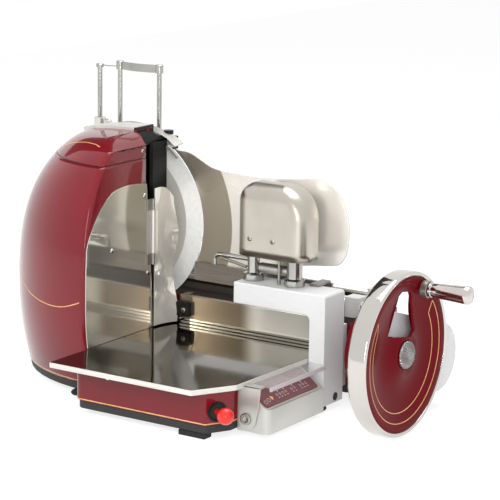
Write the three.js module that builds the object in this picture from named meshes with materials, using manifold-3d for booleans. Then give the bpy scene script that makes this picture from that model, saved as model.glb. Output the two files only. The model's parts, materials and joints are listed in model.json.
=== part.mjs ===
// Hand cranked meat slicer with a flywheel on its right side.
// Millimetres. X runs right along the blade's face, Y runs back, Z runs up.
// The part is drawn with the blade's axis over X = 0, Y = 0 and the floor at Z = 0, and is
// moved at the end so that the origin is the middle of the footprint, on the floor.
import * as THREE from "three";
import { mergeVertices } from "three/addons/utils/BufferGeometryUtils.js";
import Module from "manifold-3d";

const wasm = await Module();
wasm.setup();

// Fits and facets
const gap = 0.3;             // clearance between pieces that seat on each other
const runGap = 0.6;          // clearance round a turning or sliding piece
const overrun = 3;           // how far a cut runs past the faces it opens
const weld = 0.0005;         // points closer than this are one point
const roundSides = 36;       // facets on a large circle
const smallSides = 18;       // facets on a shaft, post or screw
const cornerSteps = 4;       // facets on a rounded corner

// Driving sizes
const blade = {
  radius: 150, axisHeight: 244, bevel: 28, edgeThickness: 1, thickness: 7,
  hubRadius: 62, hubHeight: 4, shaftRadius: 11, shaftLength: 96,
};
const tower = {
  wallX: 101, rearY: -12, depth: 238, width: 260, waistHeight: 150, baseHeight: 22,
  crownHeight: 425, topDrop: 25, seamDrop: 61, rings: 18, wall: 4, cornerRadius: 9,
  wallRearY: -90, throatX: 86, crownWidthPower: 2.4, crownDepthPower: 2.9,
  footWidthShare: 0.08, footDepthShare: 0.107, backCover: 4, seamGap: 1.2, roof: 14,
  fall: 16, fallStart: 56,
};
const topPlate = { frontY: -62, rearY: -12, leftX: -78, cornerX: -75, cornerY: -25, frontLeftX: -20, rightFrontX: 57,
  rightRearX: 58, crest: 35, rise: 4.5, thickness: 8, curveRadius: 350 };
const wallPlate = { thickness: 2, topDrop: 98, shoulderDrop: 185, crownStart: 64, rearTopY: -90,
  rearFootY: -70, edgeInset: 1.5 };
const bed = { bottom: 9, inset: 2.5, rearFootRadius: 14, rearFootInset: 40 };
const base = { frontY: -309, leftX: 126, cornerX: 370, chamferY: -270, rightX: 391.4, leftRadius: 14,
  wall: 3, recessRadius: 12, recessDepth: 9, recessHeight: 44, recessShare: 0.4 };
const tray = { top: 83.4, thickness: 9, frontY: -341, cornerX: 367, chamferX: 404, chamferY: -277, rightX: 408.4 };
const panel = { frontY: -20, leftX: 119, topHeight: 130, wall: 3, flange: 10 };
const rear = { frontY: 6, rearY: 150, leftX: -172, rightX: 436, top: 122, cornerRadius: 14, wall: 6 };
const portal = { leftX: 269, rightX: 437, frontY: -87, rearY: -28, top: 185, beam: 34, leg: 28, foot: 9,
  innerRadius: 9, round: 3 };
const boxCover = { leftX: 266, rightX: 393, frontY: -84, rearY: -20, bottom: 228, top: 343, radius: 23, wall: 2,
  planShare: 0.8 };
const column = { leftX: 286, rightX: 362, y: -56, leftRadius: 9.5, rightRadius: 12.5, collarRadius: 16.5,
  collarHeight: 11 };
const gauge = { thickness: 4, rearY: 0, clearance: 3.5, topLeftX: 94, rightX: 427, farTop: 348, farTopX: 376,
  saddleTop: 336, saddleX: 262, barHeight: 30, barTop: 186, barThickness: 6, farBottom: 211, tipX: 402,
  travel: 8, footHeight: 176,
  saddleReach: 30, saddleRise: 4, waveShare: 0.36, footLeftX: 381, footRightX: 397, footFrontY: -42, footRise: 4 };
const lever = { rodRadius: 3.8, leftX: 210, height: 216, drop: 15, y: -52 };
const guideBar = { radius: 8, y: -50, height: 205 };
const console = { leftX: 391.8, rightX: 447, frontY: -256, rearY: -101, bottom: 8, lowTop: 46, shelf: 12,
  bracketSide: 2, coverDrop: 14,
  cornerRadius: 12, labelInset: 5, labelThickness: 1.2, coverThickness: 2.5, coverHeight: 84,
  coverFrontY: -196, coverLeftX: 409.2, coverRightX: 452, bracketWidth: 34, bracketFoot: 26, bracketThickness: 2.5,
  bracketTop: 79, bracketBottom: 22 };
const deflector = { hingeX: 106.7, hingeY: -77, pinRadius: 1.8, knuckleRadius: 3, freeX: 115, freeY: -26,
  top: 312, bottom: 86, thickness: 2, wave: 6, wavePhase: 0.134, bulge: 12, knuckleLength: 18,
  lowerKnuckle: 189, upperKnuckle: 278,
  columns: 5, rows: 12, shoulder: 292, crownPower: 4, waves: 1.6, leaf: 14 };
const wheel = { x: 605, y: -132, z: 130, discRadius: 116.4, rimRadius: 124, rimDepth: 30,
  dish: 9, discThickness: 6, hubRadius: 19, capRadius: 21.5, capHeight: 9, lip: 2, shoulder: 5, shaftRadius: 12,
  pinRadius: 6, pinBack: 5, crankRadius: 102, crankAngle: 64, dishShare: 0.55, edgeShare: 0.08 };
const windowShares = [[-0.18, 0.85], [0.13, 0.775], [0.215, 0.27], [0.137, 0.215], [-0.447, 0.31]];
const grip = { length: 62, rootRadius: 11, endRadius: 14, collar: 12, collarRadius: 13, standOff: 6, pinShare: 0.8 };
const gearCase = { leftX: 535, rightX: 572, radius: 60, rearRadius: 54, wall: 4, armTop: 122,
  armFrontY: -10, armRearY: 84, armRadius: 12, hubRadius: 24, hubLength: 5 };
const gearSet = { pitch: 43, teeth: 20, toothHeight: 6, face: 14, rootShare: 0.3, tipShare: 0.12, bore: 8 };
const mainShaft = { y: 34, radius: 7.7, leftX: -44 };
const bevel = { largeRadius: 24, smallRadius: 12, nearShare: 0.6, teeth: 16, toothHeight: 3, wall: 3 };
const layShaft = { radius: 5, frontY: -98, pulleyRadius: 34, pulleyWidth: 12, pulleyY: -58, beltThickness: 2.2,
  standFront: -94, standDepth: 16, standWidth: 70, standRise: 26 };
const bladePulley = { radius: 17 };
const rails = { radius: 8, frontY: 52, rearY: 122, height: 142, blockWidth: 26, cover: 5 };
const carriage = { leftX: -130, length: 190, bottom: 152, thickness: 12, blockLength: 34,
  skirt: 3, blockWidth: 30 };
const table = { leftX: -152, length: 204, frontY: 8, rearY: 150, thickness: 6,
  runnerWidth: 20, runnerInset: 26, railHeight: 18, guide: 5, fenceHeight: 60,
  fenceThickness: 3 };
const press = { leftX: -43, rightX: 37, sideX: -85, y: 34, radius: 4, top: 480, strapHeight: 14, strapThickness: 3,
  strapBow: 9, capRadius: 6.5, capHeight: 6, toothShare: 0.35, barHeight: 18, barThickness: 12, barRest: 330,
  barOverhang: 12, toothHeight: 7, teeth: 9, clampHeight: 389, clampSize: 15, clampKnobRadius: 5,
  clampKnobLength: 14 };
const feed = { shaftRadius: 5, wheelRadius: 24, wheelThickness: 10, blockWidth: 24, frontY: 44, collarRadius: 7,
  clear: 4, reach: 60 };
const guardStrip = { inner: 153, thickness: 4, startAngle: 45, bridgeLowAngle: 53.8, bridgeHighAngle: 55,
  endAngle: 92, visorFrontY: -17, frontY: -9.6,
  rearY: 3, earWidth: 12, earDrop: 20, earRearY: -8.4 };
const guardRing = { inner: 153, thickness: 3, startAngle: 109, endAngle: 262, rearY: 2 };
const sharpener = { x: 72, width: 26, rise: 118, height: 21, depth: 18, neckRadius: 5, neckHeight: 3,
  knobRadius: 8, knobHeight: 6 };
const redKnob = { radius: 12.5, stemRadius: 5, stemLength: 26, sink: 0.8 };
const foot = { radius: 13, domeRadius: 11, padHeight: 6, blockLength: 50, blockDepth: 22, frontX: 70, frontInset: 26 };

// Finishes
const finish = (color, roughness, metalness, more = {}) =>
  new THREE.MeshStandardMaterial({ color, roughness, metalness, ...more });
const red = finish(0x6d1f2a, 0.22, 0.0);
const discRed = finish(0x6c1a20, 0.2, 0.0);
const black = finish(0x1c1b1a, 0.45, 0.0);
const skirtBlack = finish(0x3c3a37, 0.5, 0.0);
const mirror = finish(0xc9c6be, 0.12, 1.0);
const brushed = finish(0xc4c0b6, 0.3, 1.0);
const satin = finish(0xd6d5d3, 0.38, 1.0);
const chrome = finish(0xdedede, 0.06, 1.0);
const steel = finish(0x9a9894, 0.35, 1.0);
const rubber = finish(0x17171a, 0.8, 0.0);
const label = finish(0x5a1620, 0.4, 0.0);
const clear = finish(0xdfe6e6, 0.05, 0.0, { transparent: true, opacity: 0.35 });
const knobRed = finish(0xd3241c, 0.25, 0.0);

// Solids and placing
function toSolid(geometry) {
  const bare = geometry.clone();
  bare.deleteAttribute("normal");
  bare.deleteAttribute("uv");
  const merged = mergeVertices(bare, weld);
  const corners = merged.index.array;
  const kept = [];
  for (let i = 0; i < corners.length; i += 3) {
    const [a, b, c] = [corners[i], corners[i + 1], corners[i + 2]];
    if (a !== b && b !== c && c !== a) kept.push(a, b, c);
  }
  const vertProperties = Float32Array.from(merged.attributes.position.array);
  return new wasm.Manifold(new wasm.Mesh({ numProp: 3, vertProperties, triVerts: Uint32Array.from(kept) }));
}

function toGeometry(solid) {
  const { vertProperties, triVerts } = solid.getMesh();
  const geometry = new THREE.BufferGeometry();
  geometry.setAttribute("position", new THREE.BufferAttribute(vertProperties, 3));
  geometry.setIndex(new THREE.BufferAttribute(triVerts, 1));
  geometry.computeVertexNormals();
  return geometry;
}

const join = (first, ...rest) => rest.reduce((sum, piece) => sum.add(toSolid(piece)), toSolid(first));
const cut = (body, ...tools) => tools.reduce((left, tool) => left.subtract(toSolid(tool)), body);
const joined = (...pieces) => toGeometry(join(...pieces));
const carved = (body, ...tools) => toGeometry(cut(toSolid(body), ...tools));

function block(x0, x1, y0, y1, z0, z1) {
  return new THREE.BoxGeometry(x1 - x0, y1 - y0, z1 - z0).translate((x0 + x1) / 2, (y0 + y1) / 2, (z0 + z1) / 2);
}

// A slab is an outline drawn in two axes and pushed along the third one.
function push(shape, depth, steps = cornerSteps) {
  return new THREE.ExtrudeGeometry(shape, { depth, bevelEnabled: false, curveSegments: steps });
}
const slabZ = (shape, z0, z1, steps) => push(shape, z1 - z0, steps).translate(0, 0, z0);
const slabY = (shape, y0, y1, steps) => push(shape, y1 - y0, steps).rotateX(Math.PI / 2).translate(0, y1, 0);
const turnToX = new THREE.Matrix4().makeBasis(
  new THREE.Vector3(0, 1, 0), new THREE.Vector3(0, 0, 1), new THREE.Vector3(1, 0, 0));
const slabX = (shape, x0, x1, steps) => push(shape, x1 - x0, steps).applyMatrix4(turnToX).translate(x0, 0, 0);

function outline(points) {
  return new THREE.Shape(points.map(([x, y]) => new THREE.Vector2(x, y)));
}

// Rectangle with round corners, drawn from its low corner to its high one.
function roundRect(x0, x1, y0, y1, radius) {
  const shape = new THREE.Shape();
  shape.absarc(x1 - radius, y0 + radius, radius, -Math.PI / 2, 0);
  shape.absarc(x1 - radius, y1 - radius, radius, 0, Math.PI / 2);
  shape.absarc(x0 + radius, y1 - radius, radius, Math.PI / 2, Math.PI);
  shape.absarc(x0 + radius, y0 + radius, radius, Math.PI, 1.5 * Math.PI);
  shape.closePath();
  return shape;
}

const rodZ = (radius, z0, z1, x, y, sides = smallSides) =>
  new THREE.CylinderGeometry(radius, radius, z1 - z0, sides).rotateX(Math.PI / 2).translate(x, y, (z0 + z1) / 2);
const rodY = (radius, y0, y1, x, z, sides = smallSides) =>
  new THREE.CylinderGeometry(radius, radius, y1 - y0, sides).translate(x, (y0 + y1) / 2, z);
const rodX = (radius, x0, x1, y, z, sides = smallSides) =>
  new THREE.CylinderGeometry(radius, radius, x1 - x0, sides).rotateZ(Math.PI / 2).translate((x0 + x1) / 2, y, z);

// Turned pieces: profile points are [radius, distance along the axis].
function turned(profile, sides = roundSides) {
  const rising = THREE.ShapeUtils.area(profile.map(([r, h]) => new THREE.Vector2(r, h))) > 0;
  const ordered = rising ? profile : [...profile].reverse();
  return new THREE.LatheGeometry(ordered.map(([r, h]) => new THREE.Vector2(r, h)), sides);
}
const turnedX = (profile, x, y, z, sides) => turned(profile, sides).rotateZ(-Math.PI / 2).translate(x, y, z);
const turnedY = (profile, x, y, z, sides) => turned(profile, sides).translate(x, y, z);
const turnedZ = (profile, x, y, z, sides) => turned(profile, sides).rotateX(Math.PI / 2).translate(x, y, z);

const degrees = (angle) => THREE.MathUtils.degToRad(angle);

const slicer = new THREE.Group();
function add(name, geometry, material) {
  const mesh = new THREE.Mesh(geometry, material);
  mesh.name = name;
  slicer.add(mesh);
  return mesh;
}

// Heights of the tower under the point where its curves would meet
const towerTop = tower.crownHeight - tower.topDrop;
const seamHeight = tower.crownHeight - tower.seamDrop;

// Shafts that several pieces line up with
const gearReach = 4 * gearSet.pitch;
const mainShaftZ = wheel.z - Math.sqrt(gearReach ** 2 - (mainShaft.y - wheel.y) ** 2);
const gearX = (gearCase.leftX + gearCase.rightX) / 2;

// Places of the table over the carriage
const crossRailX = [table.leftX + table.runnerInset, table.leftX + table.length - table.runnerInset - table.runnerWidth];
const tableTop = carriage.bottom + carriage.thickness + table.railHeight + gap + table.thickness;
const feedX = table.leftX + table.length / 2;
const feedZ = carriage.bottom + carriage.thickness + table.railHeight / 2;

// Tower: sections of a quarter ellipse, wide at the waist and closing to the crown.
function towerShares(z) {
  if (z < tower.waistHeight) {
    const drop = ((tower.waistHeight - z) / tower.waistHeight) ** 2;
    return [1 - tower.footWidthShare * drop, 1 - tower.footDepthShare * drop];
  }
  const rise = (z - tower.waistHeight) / (tower.crownHeight - tower.waistHeight);
  const share = (power) => (1 - rise ** power) ** (1 / power);
  return [share(tower.crownWidthPower), share(tower.crownDepthPower)];
}

function towerSection(z, inset, backY) {
  const [widthShare, depthShare] = towerShares(z);
  const width = tower.width * widthShare - inset;
  const depth = tower.depth * depthShare - inset;
  const right = tower.wallX - inset;
  const radius = tower.cornerRadius;
  const points = [[right, backY]];
  for (let i = 0; i <= cornerSteps; i++) {
    const turn = (i / cornerSteps) * Math.PI / 2;
    points.push([right - radius * (1 - Math.cos(turn)), tower.rearY - depth + radius * (1 - Math.sin(turn))]);
  }
  const start = Math.asin((radius + inset) / (width + inset));
  const arcSteps = 3 * cornerSteps;
  for (let i = 1; i <= arcSteps; i++) {
    const turn = start + (i / arcSteps) * (Math.PI / 2 - start);
    points.push([tower.wallX - width * Math.sin(turn), tower.rearY - depth * Math.cos(turn)]);
  }
  points.push([tower.wallX - width, backY]);
  return points;
}

// Closed skin through a stack of like sections, each a loop of [x, y] at its height.
function loft(heights, section) {
  const rings = heights.map((z) => section(z).map(([x, y]) => [x, y, z]));
  const count = rings[0].length;
  const positions = rings.flat(2);
  const index = [];
  for (let k = 0; k + 1 < rings.length; k++) {
    for (let i = 0; i < count; i++) {
      const [a, b] = [k * count + i, k * count + (i + 1) % count];
      index.push(a, a + count, b, b, a + count, b + count);
    }
  }
  const top = (rings.length - 1) * count;
  const faces = THREE.ShapeUtils.triangulateShape(rings[0].map(([x, y]) => new THREE.Vector2(x, y)), []);
  const lid = THREE.ShapeUtils.triangulateShape(rings.at(-1).map(([x, y]) => new THREE.Vector2(x, y)), []);
  const clockwise = THREE.ShapeUtils.area(rings[0].map(([x, y]) => new THREE.Vector2(x, y))) < 0;
  if (!clockwise) {
    for (let i = 0; i < index.length; i += 3) [index[i + 1], index[i + 2]] = [index[i + 2], index[i + 1]];
  }
  faces.forEach(([a, b, c]) => index.push(a, c, b));
  lid.forEach(([a, b, c]) => index.push(top + a, top + b, top + c));
  const geometry = new THREE.BufferGeometry();
  geometry.setAttribute("position", new THREE.Float32BufferAttribute(positions, 3));
  geometry.setIndex(index);
  return geometry;
}

function heightsBetween(z0, z1, count) {
  return Array.from({ length: count + 1 }, (_, i) => z0 + (z1 - z0) * i / count);
}

// The throat side runs from the wall's rear edge to the right edge of the black back cover.
function throatCut(offset, z0, z1) {
  const corner = [tower.wallX + overrun, tower.wallRearY - offset];
  const inner = [tower.throatX - offset, tower.rearY - offset];
  const far = [-tower.width, tower.rearY - offset];
  return slabZ(outline([corner, [tower.wallX, tower.wallRearY - offset], inner, far,
    [-tower.width, -tower.rearY], [tower.wallX + tower.depth, -tower.rearY],
    [tower.wallX + tower.depth, tower.wallRearY - offset]]), z0, z1);
}

// All skins share the same ring heights, so that an inner one stays clear of an outer one.
function towerSkin(z0, z1, inset) {
  const rings = heightsBetween(0, tower.crownHeight, tower.rings).filter((z) => z > z0 + weld && z < z1 - weld);
  return toSolid(loft([z0, ...rings, z1], (z) => towerSection(z, inset, tower.rearY + overrun)));
}

// The crown falls off towards the right wall: all that lies over its curve.
function crownFall() {
  const reach = tower.wallX - tower.fallStart;
  const height = (x) => towerTop - tower.fall * ((x - tower.fallStart) / reach) ** 2;
  const places = heightsBetween(tower.fallStart, tower.wallX + overrun, 2 * cornerSteps);
  const over = tower.crownHeight + overrun;
  const points = places.map((x) => [x, height(x)]);
  return slabY(outline([...points, [tower.wallX + overrun, over], [tower.fallStart, over]]),
    tower.rearY - tower.depth, tower.rearY + 2 * overrun);
}

function towerParts() {
  const low = tower.baseHeight;
  const outer = towerSkin(low, seamHeight - tower.seamGap, 0);
  const hollow = towerSkin(low - overrun, seamHeight, tower.wall);
  const shell = outer.subtract(hollow).subtract(toSolid(throatCut(0, low - overrun, tower.crownHeight)));
  add("tower_shell", toGeometry(shell), red);

  const capOuter = towerSkin(seamHeight, towerTop, 0);
  const roofUnder = towerTop - tower.roof;
  const capHollow = towerSkin(seamHeight - overrun, roofUnder, tower.wall);
  const cap = cut(capOuter.subtract(capHollow), throatCut(0, low, tower.crownHeight), crownFall(),
    topPlateSeat());
  add("tower_cap", toGeometry(cap), red);

  const backStock = towerSkin(low, roofUnder - gap, tower.wall + 3 * gap);
  const back = backStock.subtract(toSolid(throatCut(0, low - overrun, tower.crownHeight)))
    .subtract(backStock.subtract(toSolid(throatCut(tower.backCover, low - overrun, tower.crownHeight))));
  const shaftHole = rodY(blade.shaftRadius + runGap, tower.rearY - tower.backCover - overrun, tower.rearY + overrun,
    0, blade.axisHeight);
  const layHole = rodY(layShaft.radius + runGap, tower.rearY - tower.backCover - overrun, tower.rearY + overrun,
    0, mainShaftZ);
  const panels = cut(back, shaftHole, layHole, topPlateSeat());
  const splitX = tower.throatX - 2 * tower.backCover;
  const rearSide = toSolid(block(-tower.width, splitX - gap, tower.rearY - tower.backCover - overrun,
    tower.rearY + overrun, 0, tower.crownHeight));
  const throatSide = toSolid(block(splitX, tower.wallX + overrun, tower.rearY - tower.depth, tower.rearY + overrun,
    0, tower.crownHeight));
  add("tower_back_cover", toGeometry(panels.intersect(rearSide)), black);
  add("throat_cover", toGeometry(panels.intersect(throatSide)), black);
}

// The arched top plate: its plan, and the arch from one radius down to another height.
function topPlatePlan(grow) {
  const plate = topPlate;
  const [left, front, rear] = [plate.leftX - grow, plate.frontY - grow, plate.rearY + grow];
  return outline([[plate.cornerX - grow, plate.cornerY - grow], [plate.frontLeftX - grow, front],
    [plate.rightFrontX + grow, front], [plate.rightRearX + grow, rear], [left, rear]]);
}

function topPlateArch(radius, floor) {
  const plate = topPlate;
  const centreZ = towerTop + plate.rise - plate.curveRadius;
  const swing = Math.asin((plate.crest - plate.leftX + overrun) / plate.curveRadius);
  const shape = new THREE.Shape();
  shape.absarc(plate.crest, centreZ, radius, Math.PI / 2 - swing, Math.PI / 2 + swing);
  shape.lineTo(plate.crest - radius * Math.sin(swing), floor);
  shape.lineTo(plate.crest + radius * Math.sin(swing), floor);
  shape.closePath();
  return slabY(shape, plate.frontY - overrun, plate.rearY + overrun, 3 * cornerSteps);
}

function topPlateSeat() {
  const space = toSolid(slabZ(topPlatePlan(gap), seamHeight, tower.crownHeight));
  const under = topPlateArch(topPlate.curveRadius - topPlate.thickness - gap, 0);
  return toGeometry(cut(space, under));
}

function towerTrim() {
  const stock = toSolid(topPlateArch(topPlate.curveRadius, seamHeight));
  const under = toSolid(topPlateArch(topPlate.curveRadius - topPlate.thickness, 0));
  const plan = toSolid(slabZ(topPlatePlan(0), seamHeight, tower.crownHeight));
  add("top_plate", toGeometry(stock.subtract(under).intersect(plan)), brushed);

  const side = new THREE.Shape();
  const p = wallPlate;
  const foot = tray.top + gap;
  const shoulder = tower.crownHeight - p.shoulderDrop;
  const crest = tower.crownHeight - p.topDrop;
  const heights = heightsBetween(foot, shoulder, 6);
  const edgeAt = (z) => tower.rearY - tower.depth * towerShares(z)[1] + p.edgeInset;
  side.moveTo(p.rearFootY, foot);
  heights.forEach((z) => side.lineTo(edgeAt(z), z));
  side.bezierCurveTo(edgeAt(shoulder) + p.crownStart / 4, crest - p.crownStart / 4,
    edgeAt(shoulder) + p.crownStart, crest, p.rearTopY - p.crownStart / 2, crest);
  side.lineTo(p.rearTopY, crest - p.thickness);
  side.closePath();
  const plateX = tower.wallX + gap;
  add("wall_plate", slabX(side, plateX, plateX + p.thickness, 3 * cornerSteps), mirror);
}

// Bed, base and receiving tray
function baseOutline(inset) {
  const shape = new THREE.Shape();
  const left = base.leftX + inset;
  const front = base.frontY + inset;
  const slope = (base.rightX - base.cornerX) / (base.chamferY - base.frontY);
  const shift = inset * (Math.hypot(1, slope) - slope);
  shape.moveTo(left + base.leftRadius, front);
  shape.lineTo(base.cornerX - shift, front);
  shape.lineTo(base.rightX - inset, base.chamferY + shift);
  shape.lineTo(base.rightX - inset, panel.frontY - gap);
  shape.lineTo(left, panel.frontY - gap);
  shape.lineTo(left, front + base.leftRadius);
  shape.absarc(left + base.leftRadius, front + base.leftRadius, base.leftRadius, Math.PI, 1.5 * Math.PI);
  return shape;
}

const chamferRun = [base.rightX - base.cornerX, base.chamferY - base.frontY];
const chamferLength = Math.hypot(...chamferRun);
const chamferNormal = [chamferRun[1] / chamferLength, -chamferRun[0] / chamferLength];
const knobShare = base.recessShare;
const knobSeat = [base.cornerX + chamferRun[0] * knobShare, base.frontY + chamferRun[1] * knobShare];

// Turns a piece drawn along +X at the origin so that it points out of the chamfer face.
function outOfChamfer(geometry, distance = 0) {
  const angle = Math.atan2(chamferNormal[1], chamferNormal[0]);
  return geometry.rotateZ(angle).translate(
    knobSeat[0] + chamferNormal[0] * distance, knobSeat[1] + chamferNormal[1] * distance, base.recessHeight);
}

function baseParts() {
  const bedTop = tower.baseHeight - gap;
  const towerFoot = loft([bed.bottom, bedTop], () => towerSection(tower.baseHeight, bed.inset, tower.rearY));
  const baseFoot = slabZ(baseOutline(bed.inset), bed.bottom, bedTop);
  const rearFoot = slabZ(roundRect(rear.leftX + bed.inset, rear.rightX - bed.inset, rear.frontY,
    rear.rearY - bed.inset, rear.cornerRadius), bed.bottom, bedTop);
  const middle = block(tower.rearY - tower.wall, base.rightX - bed.inset, tower.wallRearY, rear.frontY + overrun,
    bed.bottom, bedTop);
  add("bed_plate", joined(towerFoot, baseFoot, rearFoot, middle), skirtBlack);

  const body = slabZ(baseOutline(0), tower.baseHeight, tray.top - tray.thickness - gap);
  const inner = slabZ(baseOutline(base.wall), tower.baseHeight - overrun, tray.top - tray.thickness - gap - base.wall);
  const cup = outOfChamfer(rodX(base.recessRadius + base.wall, -base.recessDepth - base.wall, -gap, 0, 0));
  const pocket = outOfChamfer(rodX(base.recessRadius, -base.recessDepth, overrun, 0, 0));
  const stemHole = outOfChamfer(rodX(redKnob.stemRadius + runGap, -base.recessDepth - 2 * base.wall, 0, 0, 0));
  const shell = cut(toSolid(body), inner).add(toSolid(cup));
  add("base_body", toGeometry(cut(shell, pocket, stemHole)), red);

  const plan = outline([[tower.wallX + wallPlate.thickness + 2 * gap, tray.frontY], [tray.cornerX, tray.frontY],
    [tray.chamferX, tray.chamferY], [tray.rightX, portal.frontY - gap], [tray.rightX, panel.frontY - gap],
    [tower.wallX + wallPlate.thickness + 2 * gap, panel.frontY - gap]]);
  add("receiving_tray", slabZ(plan, tray.top - tray.thickness, tray.top), mirror);

}

function domeFoot(x, y, top, radius) {
  return turnedZ([[0, 0], [radius * 0.8, 0], [radius, foot.padHeight / 2], [radius * 0.9, foot.padHeight],
    [radius * 0.6, top], [0, top]], x, y, 0, smallSides);
}

function footParts() {
  const seat = bed.bottom - gap;
  const insetX = bed.rearFootInset;
  const backY = rear.rearY - insetX;
  add("foot_rear_left", domeFoot(rear.leftX + insetX, backY, seat, bed.rearFootRadius), rubber);
  add("foot_rear_right", domeFoot(rear.rightX - insetX, backY, seat, bed.rearFootRadius), rubber);
  add("foot_front_left", domeFoot(foot.frontX, tower.rearY - tower.depth + foot.frontInset, seat, foot.radius), rubber);
  add("foot_front_right", block(base.cornerX - foot.blockLength, base.cornerX - bed.inset,
    base.frontY + bed.inset, base.frontY + foot.blockDepth, 0, seat), rubber);
  add("foot_portal", domeFoot(portal.rightX - portal.leg / 2, portal.frontY + portal.leg / 2, portal.foot - gap,
    foot.domeRadius), rubber);
}

// Polished front panel under the blade
function panelParts() {
  const top = panel.topHeight;
  const right = portal.rightX - portal.leg - gap;
  const face = block(panel.leftX, right, panel.frontY, panel.frontY + panel.wall, tray.top - tray.thickness, top);
  const lip = block(panel.leftX, right, panel.frontY, panel.frontY + panel.flange, top - panel.wall, top);
  const footLip = block(panel.leftX, right, panel.frontY, rear.frontY - gap, tower.baseHeight, tower.baseHeight + panel.wall);
  const back = block(panel.leftX, right, panel.frontY, panel.frontY + panel.wall, tower.baseHeight, tray.top);
  const webs = [panel.leftX, right - panel.flange].map((x) =>
    block(x, x + panel.flange, panel.frontY, rear.frontY - gap, tower.baseHeight, top));
  add("front_panel", joined(face, lip, footLip, back, ...webs), mirror);
}

// Closed rear housing that carries the rails
function rearParts() {
  const body = slabZ(roundRect(rear.leftX, rear.rightX, rear.frontY, rear.rearY, rear.cornerRadius),
    tower.baseHeight, rear.top);
  const shaftSpace = rodX(mainShaft.radius + runGap, mainShaft.leftX - runGap, rear.rightX + overrun,
    mainShaft.y, mainShaftZ);
  const room = bevel.largeRadius + bevel.toothHeight;
  const bevelSpace = block(-room, room, rear.frontY + bevel.wall, mainShaft.y + room,
    mainShaftZ - room, mainShaftZ + room);
  const layHole = rodY(layShaft.radius + runGap, rear.frontY - overrun, mainShaft.y, 0, mainShaftZ);
  const hollow = block(rear.leftX + rear.wall, rear.rightX - rear.wall, mainShaft.y + room + rear.wall,
    rear.rearY - rear.wall, tower.baseHeight - overrun, rear.top - rear.wall);
  add("rear_housing", carved(body, shaftSpace, bevelSpace, layHole, hollow), red);

  const ends = [rear.leftX + rails.blockWidth, rear.rightX - rails.blockWidth];
  const rods = [["rail_front", rails.frontY], ["rail_rear", rails.rearY]];
  rods.forEach(([name, y]) => add(name, rodX(rails.radius, ends[0] - rails.blockWidth / 2,
    ends[1] + rails.blockWidth / 2, y, rails.height, smallSides), chrome));
  const side = rails.blockWidth / 2;
  ["rail_support_left", "rail_support_right"].forEach((name, i) => {
    const stand = block(ends[i] - side, ends[i] + side, rails.frontY - side, rails.rearY + side,
      rear.top + gap, rails.height + rails.radius + rails.cover);
    const bores = rods.map(([, y]) => rodX(rails.radius + gap, ends[i] - side - overrun, ends[i] + side + overrun,
      y, rails.height));
    const relief = block(ends[i] - side - overrun, ends[i] + side + overrun, rails.frontY + side, rails.rearY - side,
      rails.height - rails.radius, rails.height + rails.radius + rails.cover + overrun);
    add(name, carved(stand, relief, ...bores), satin);
  });
}

// Portal, its cover and the small gear between them
function portalParts() {
  const p = portal;
  const bottom = p.top - p.beam;
  const legX = p.rightX - p.leg;
  const shape = new THREE.Shape();
  shape.moveTo(p.leftX, bottom);
  shape.lineTo(legX - p.innerRadius, bottom);
  shape.absarc(legX - p.innerRadius, bottom - p.innerRadius, p.innerRadius, Math.PI / 2, 0, true);
  shape.lineTo(legX, p.foot);
  shape.lineTo(p.rightX, p.foot);
  shape.lineTo(p.rightX, p.top);
  shape.lineTo(p.leftX, p.top);
  shape.closePath();
  const rounded = toSolid(slabY(shape, p.frontY, p.rearY))
    .intersect(toSolid(slabZ(roundRect(p.leftX, p.rightX, p.frontY, p.rearY, p.round), 0, p.top + overrun)));
  add("portal_frame", toGeometry(rounded), satin);

  const brace = block(legX + gap, rear.rightX - rear.cornerRadius, p.rearY + gap, rear.frontY - gap,
    tower.baseHeight, rear.top);
  add("portal_brace", brace, satin);

  const b = boxCover;
  const face = new THREE.Shape();
  face.moveTo(b.leftX, b.bottom);
  face.lineTo(b.rightX, b.bottom);
  face.absarc(b.rightX - b.radius, b.top - b.radius, b.radius, 0, Math.PI / 2);
  face.absarc(b.leftX + b.radius, b.top - b.radius, b.radius, Math.PI / 2, Math.PI);
  face.closePath();
  const stepPlan = roundRect(b.leftX, b.rightX, b.frontY, b.rearY, b.radius * b.planShare);
  const outer = toSolid(slabY(face, b.frontY, b.rearY, 2 * cornerSteps))
    .intersect(toSolid(slabZ(stepPlan, b.bottom, b.top)))
    .intersect(toSolid(slabX(topRound(b), b.leftX, b.rightX, 2 * cornerSteps)));
  const inset = b.wall;
  const hollow = toSolid(slabZ(roundRect(b.leftX + inset, b.rightX - inset, b.frontY + inset, b.rearY - inset,
    b.radius * b.planShare - inset), b.bottom - overrun, b.top - b.radius));
  add("box_cover", toGeometry(outer.subtract(hollow)), mirror);

  const floor = p.top + gap;
  const ceiling = b.top - b.radius - gap;
  const l = lever;
  const leverArm = [rodX(l.rodRadius, l.leftX, column.leftX, l.y, l.height),
    rodZ(l.rodRadius, l.height - l.drop, l.height, l.leftX, l.y),
    new THREE.SphereGeometry(l.rodRadius, smallSides, smallSides / 2).translate(l.leftX, l.y, l.height)];
  add("column_left", joined(turnedZ([[0, 0], [column.collarRadius, 0], [column.collarRadius, column.collarHeight],
    [column.leftRadius, column.collarHeight], [column.leftRadius, ceiling - floor], [0, ceiling - floor]],
    column.leftX, column.y, floor), ...leverArm), chrome);
  add("column_right", turnedZ([[0, 0], [column.collarRadius, 0], [column.collarRadius, column.collarHeight],
    [column.rightRadius, column.collarHeight], [column.rightRadius, ceiling - floor], [0, ceiling - floor]],
    column.rightX, column.y, floor), chrome);
  add("guide_bar", rodX(guideBar.radius, column.leftX + column.leftRadius + gap,
    column.rightX - column.rightRadius - gap, guideBar.y, guideBar.height), brushed);
}

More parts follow.
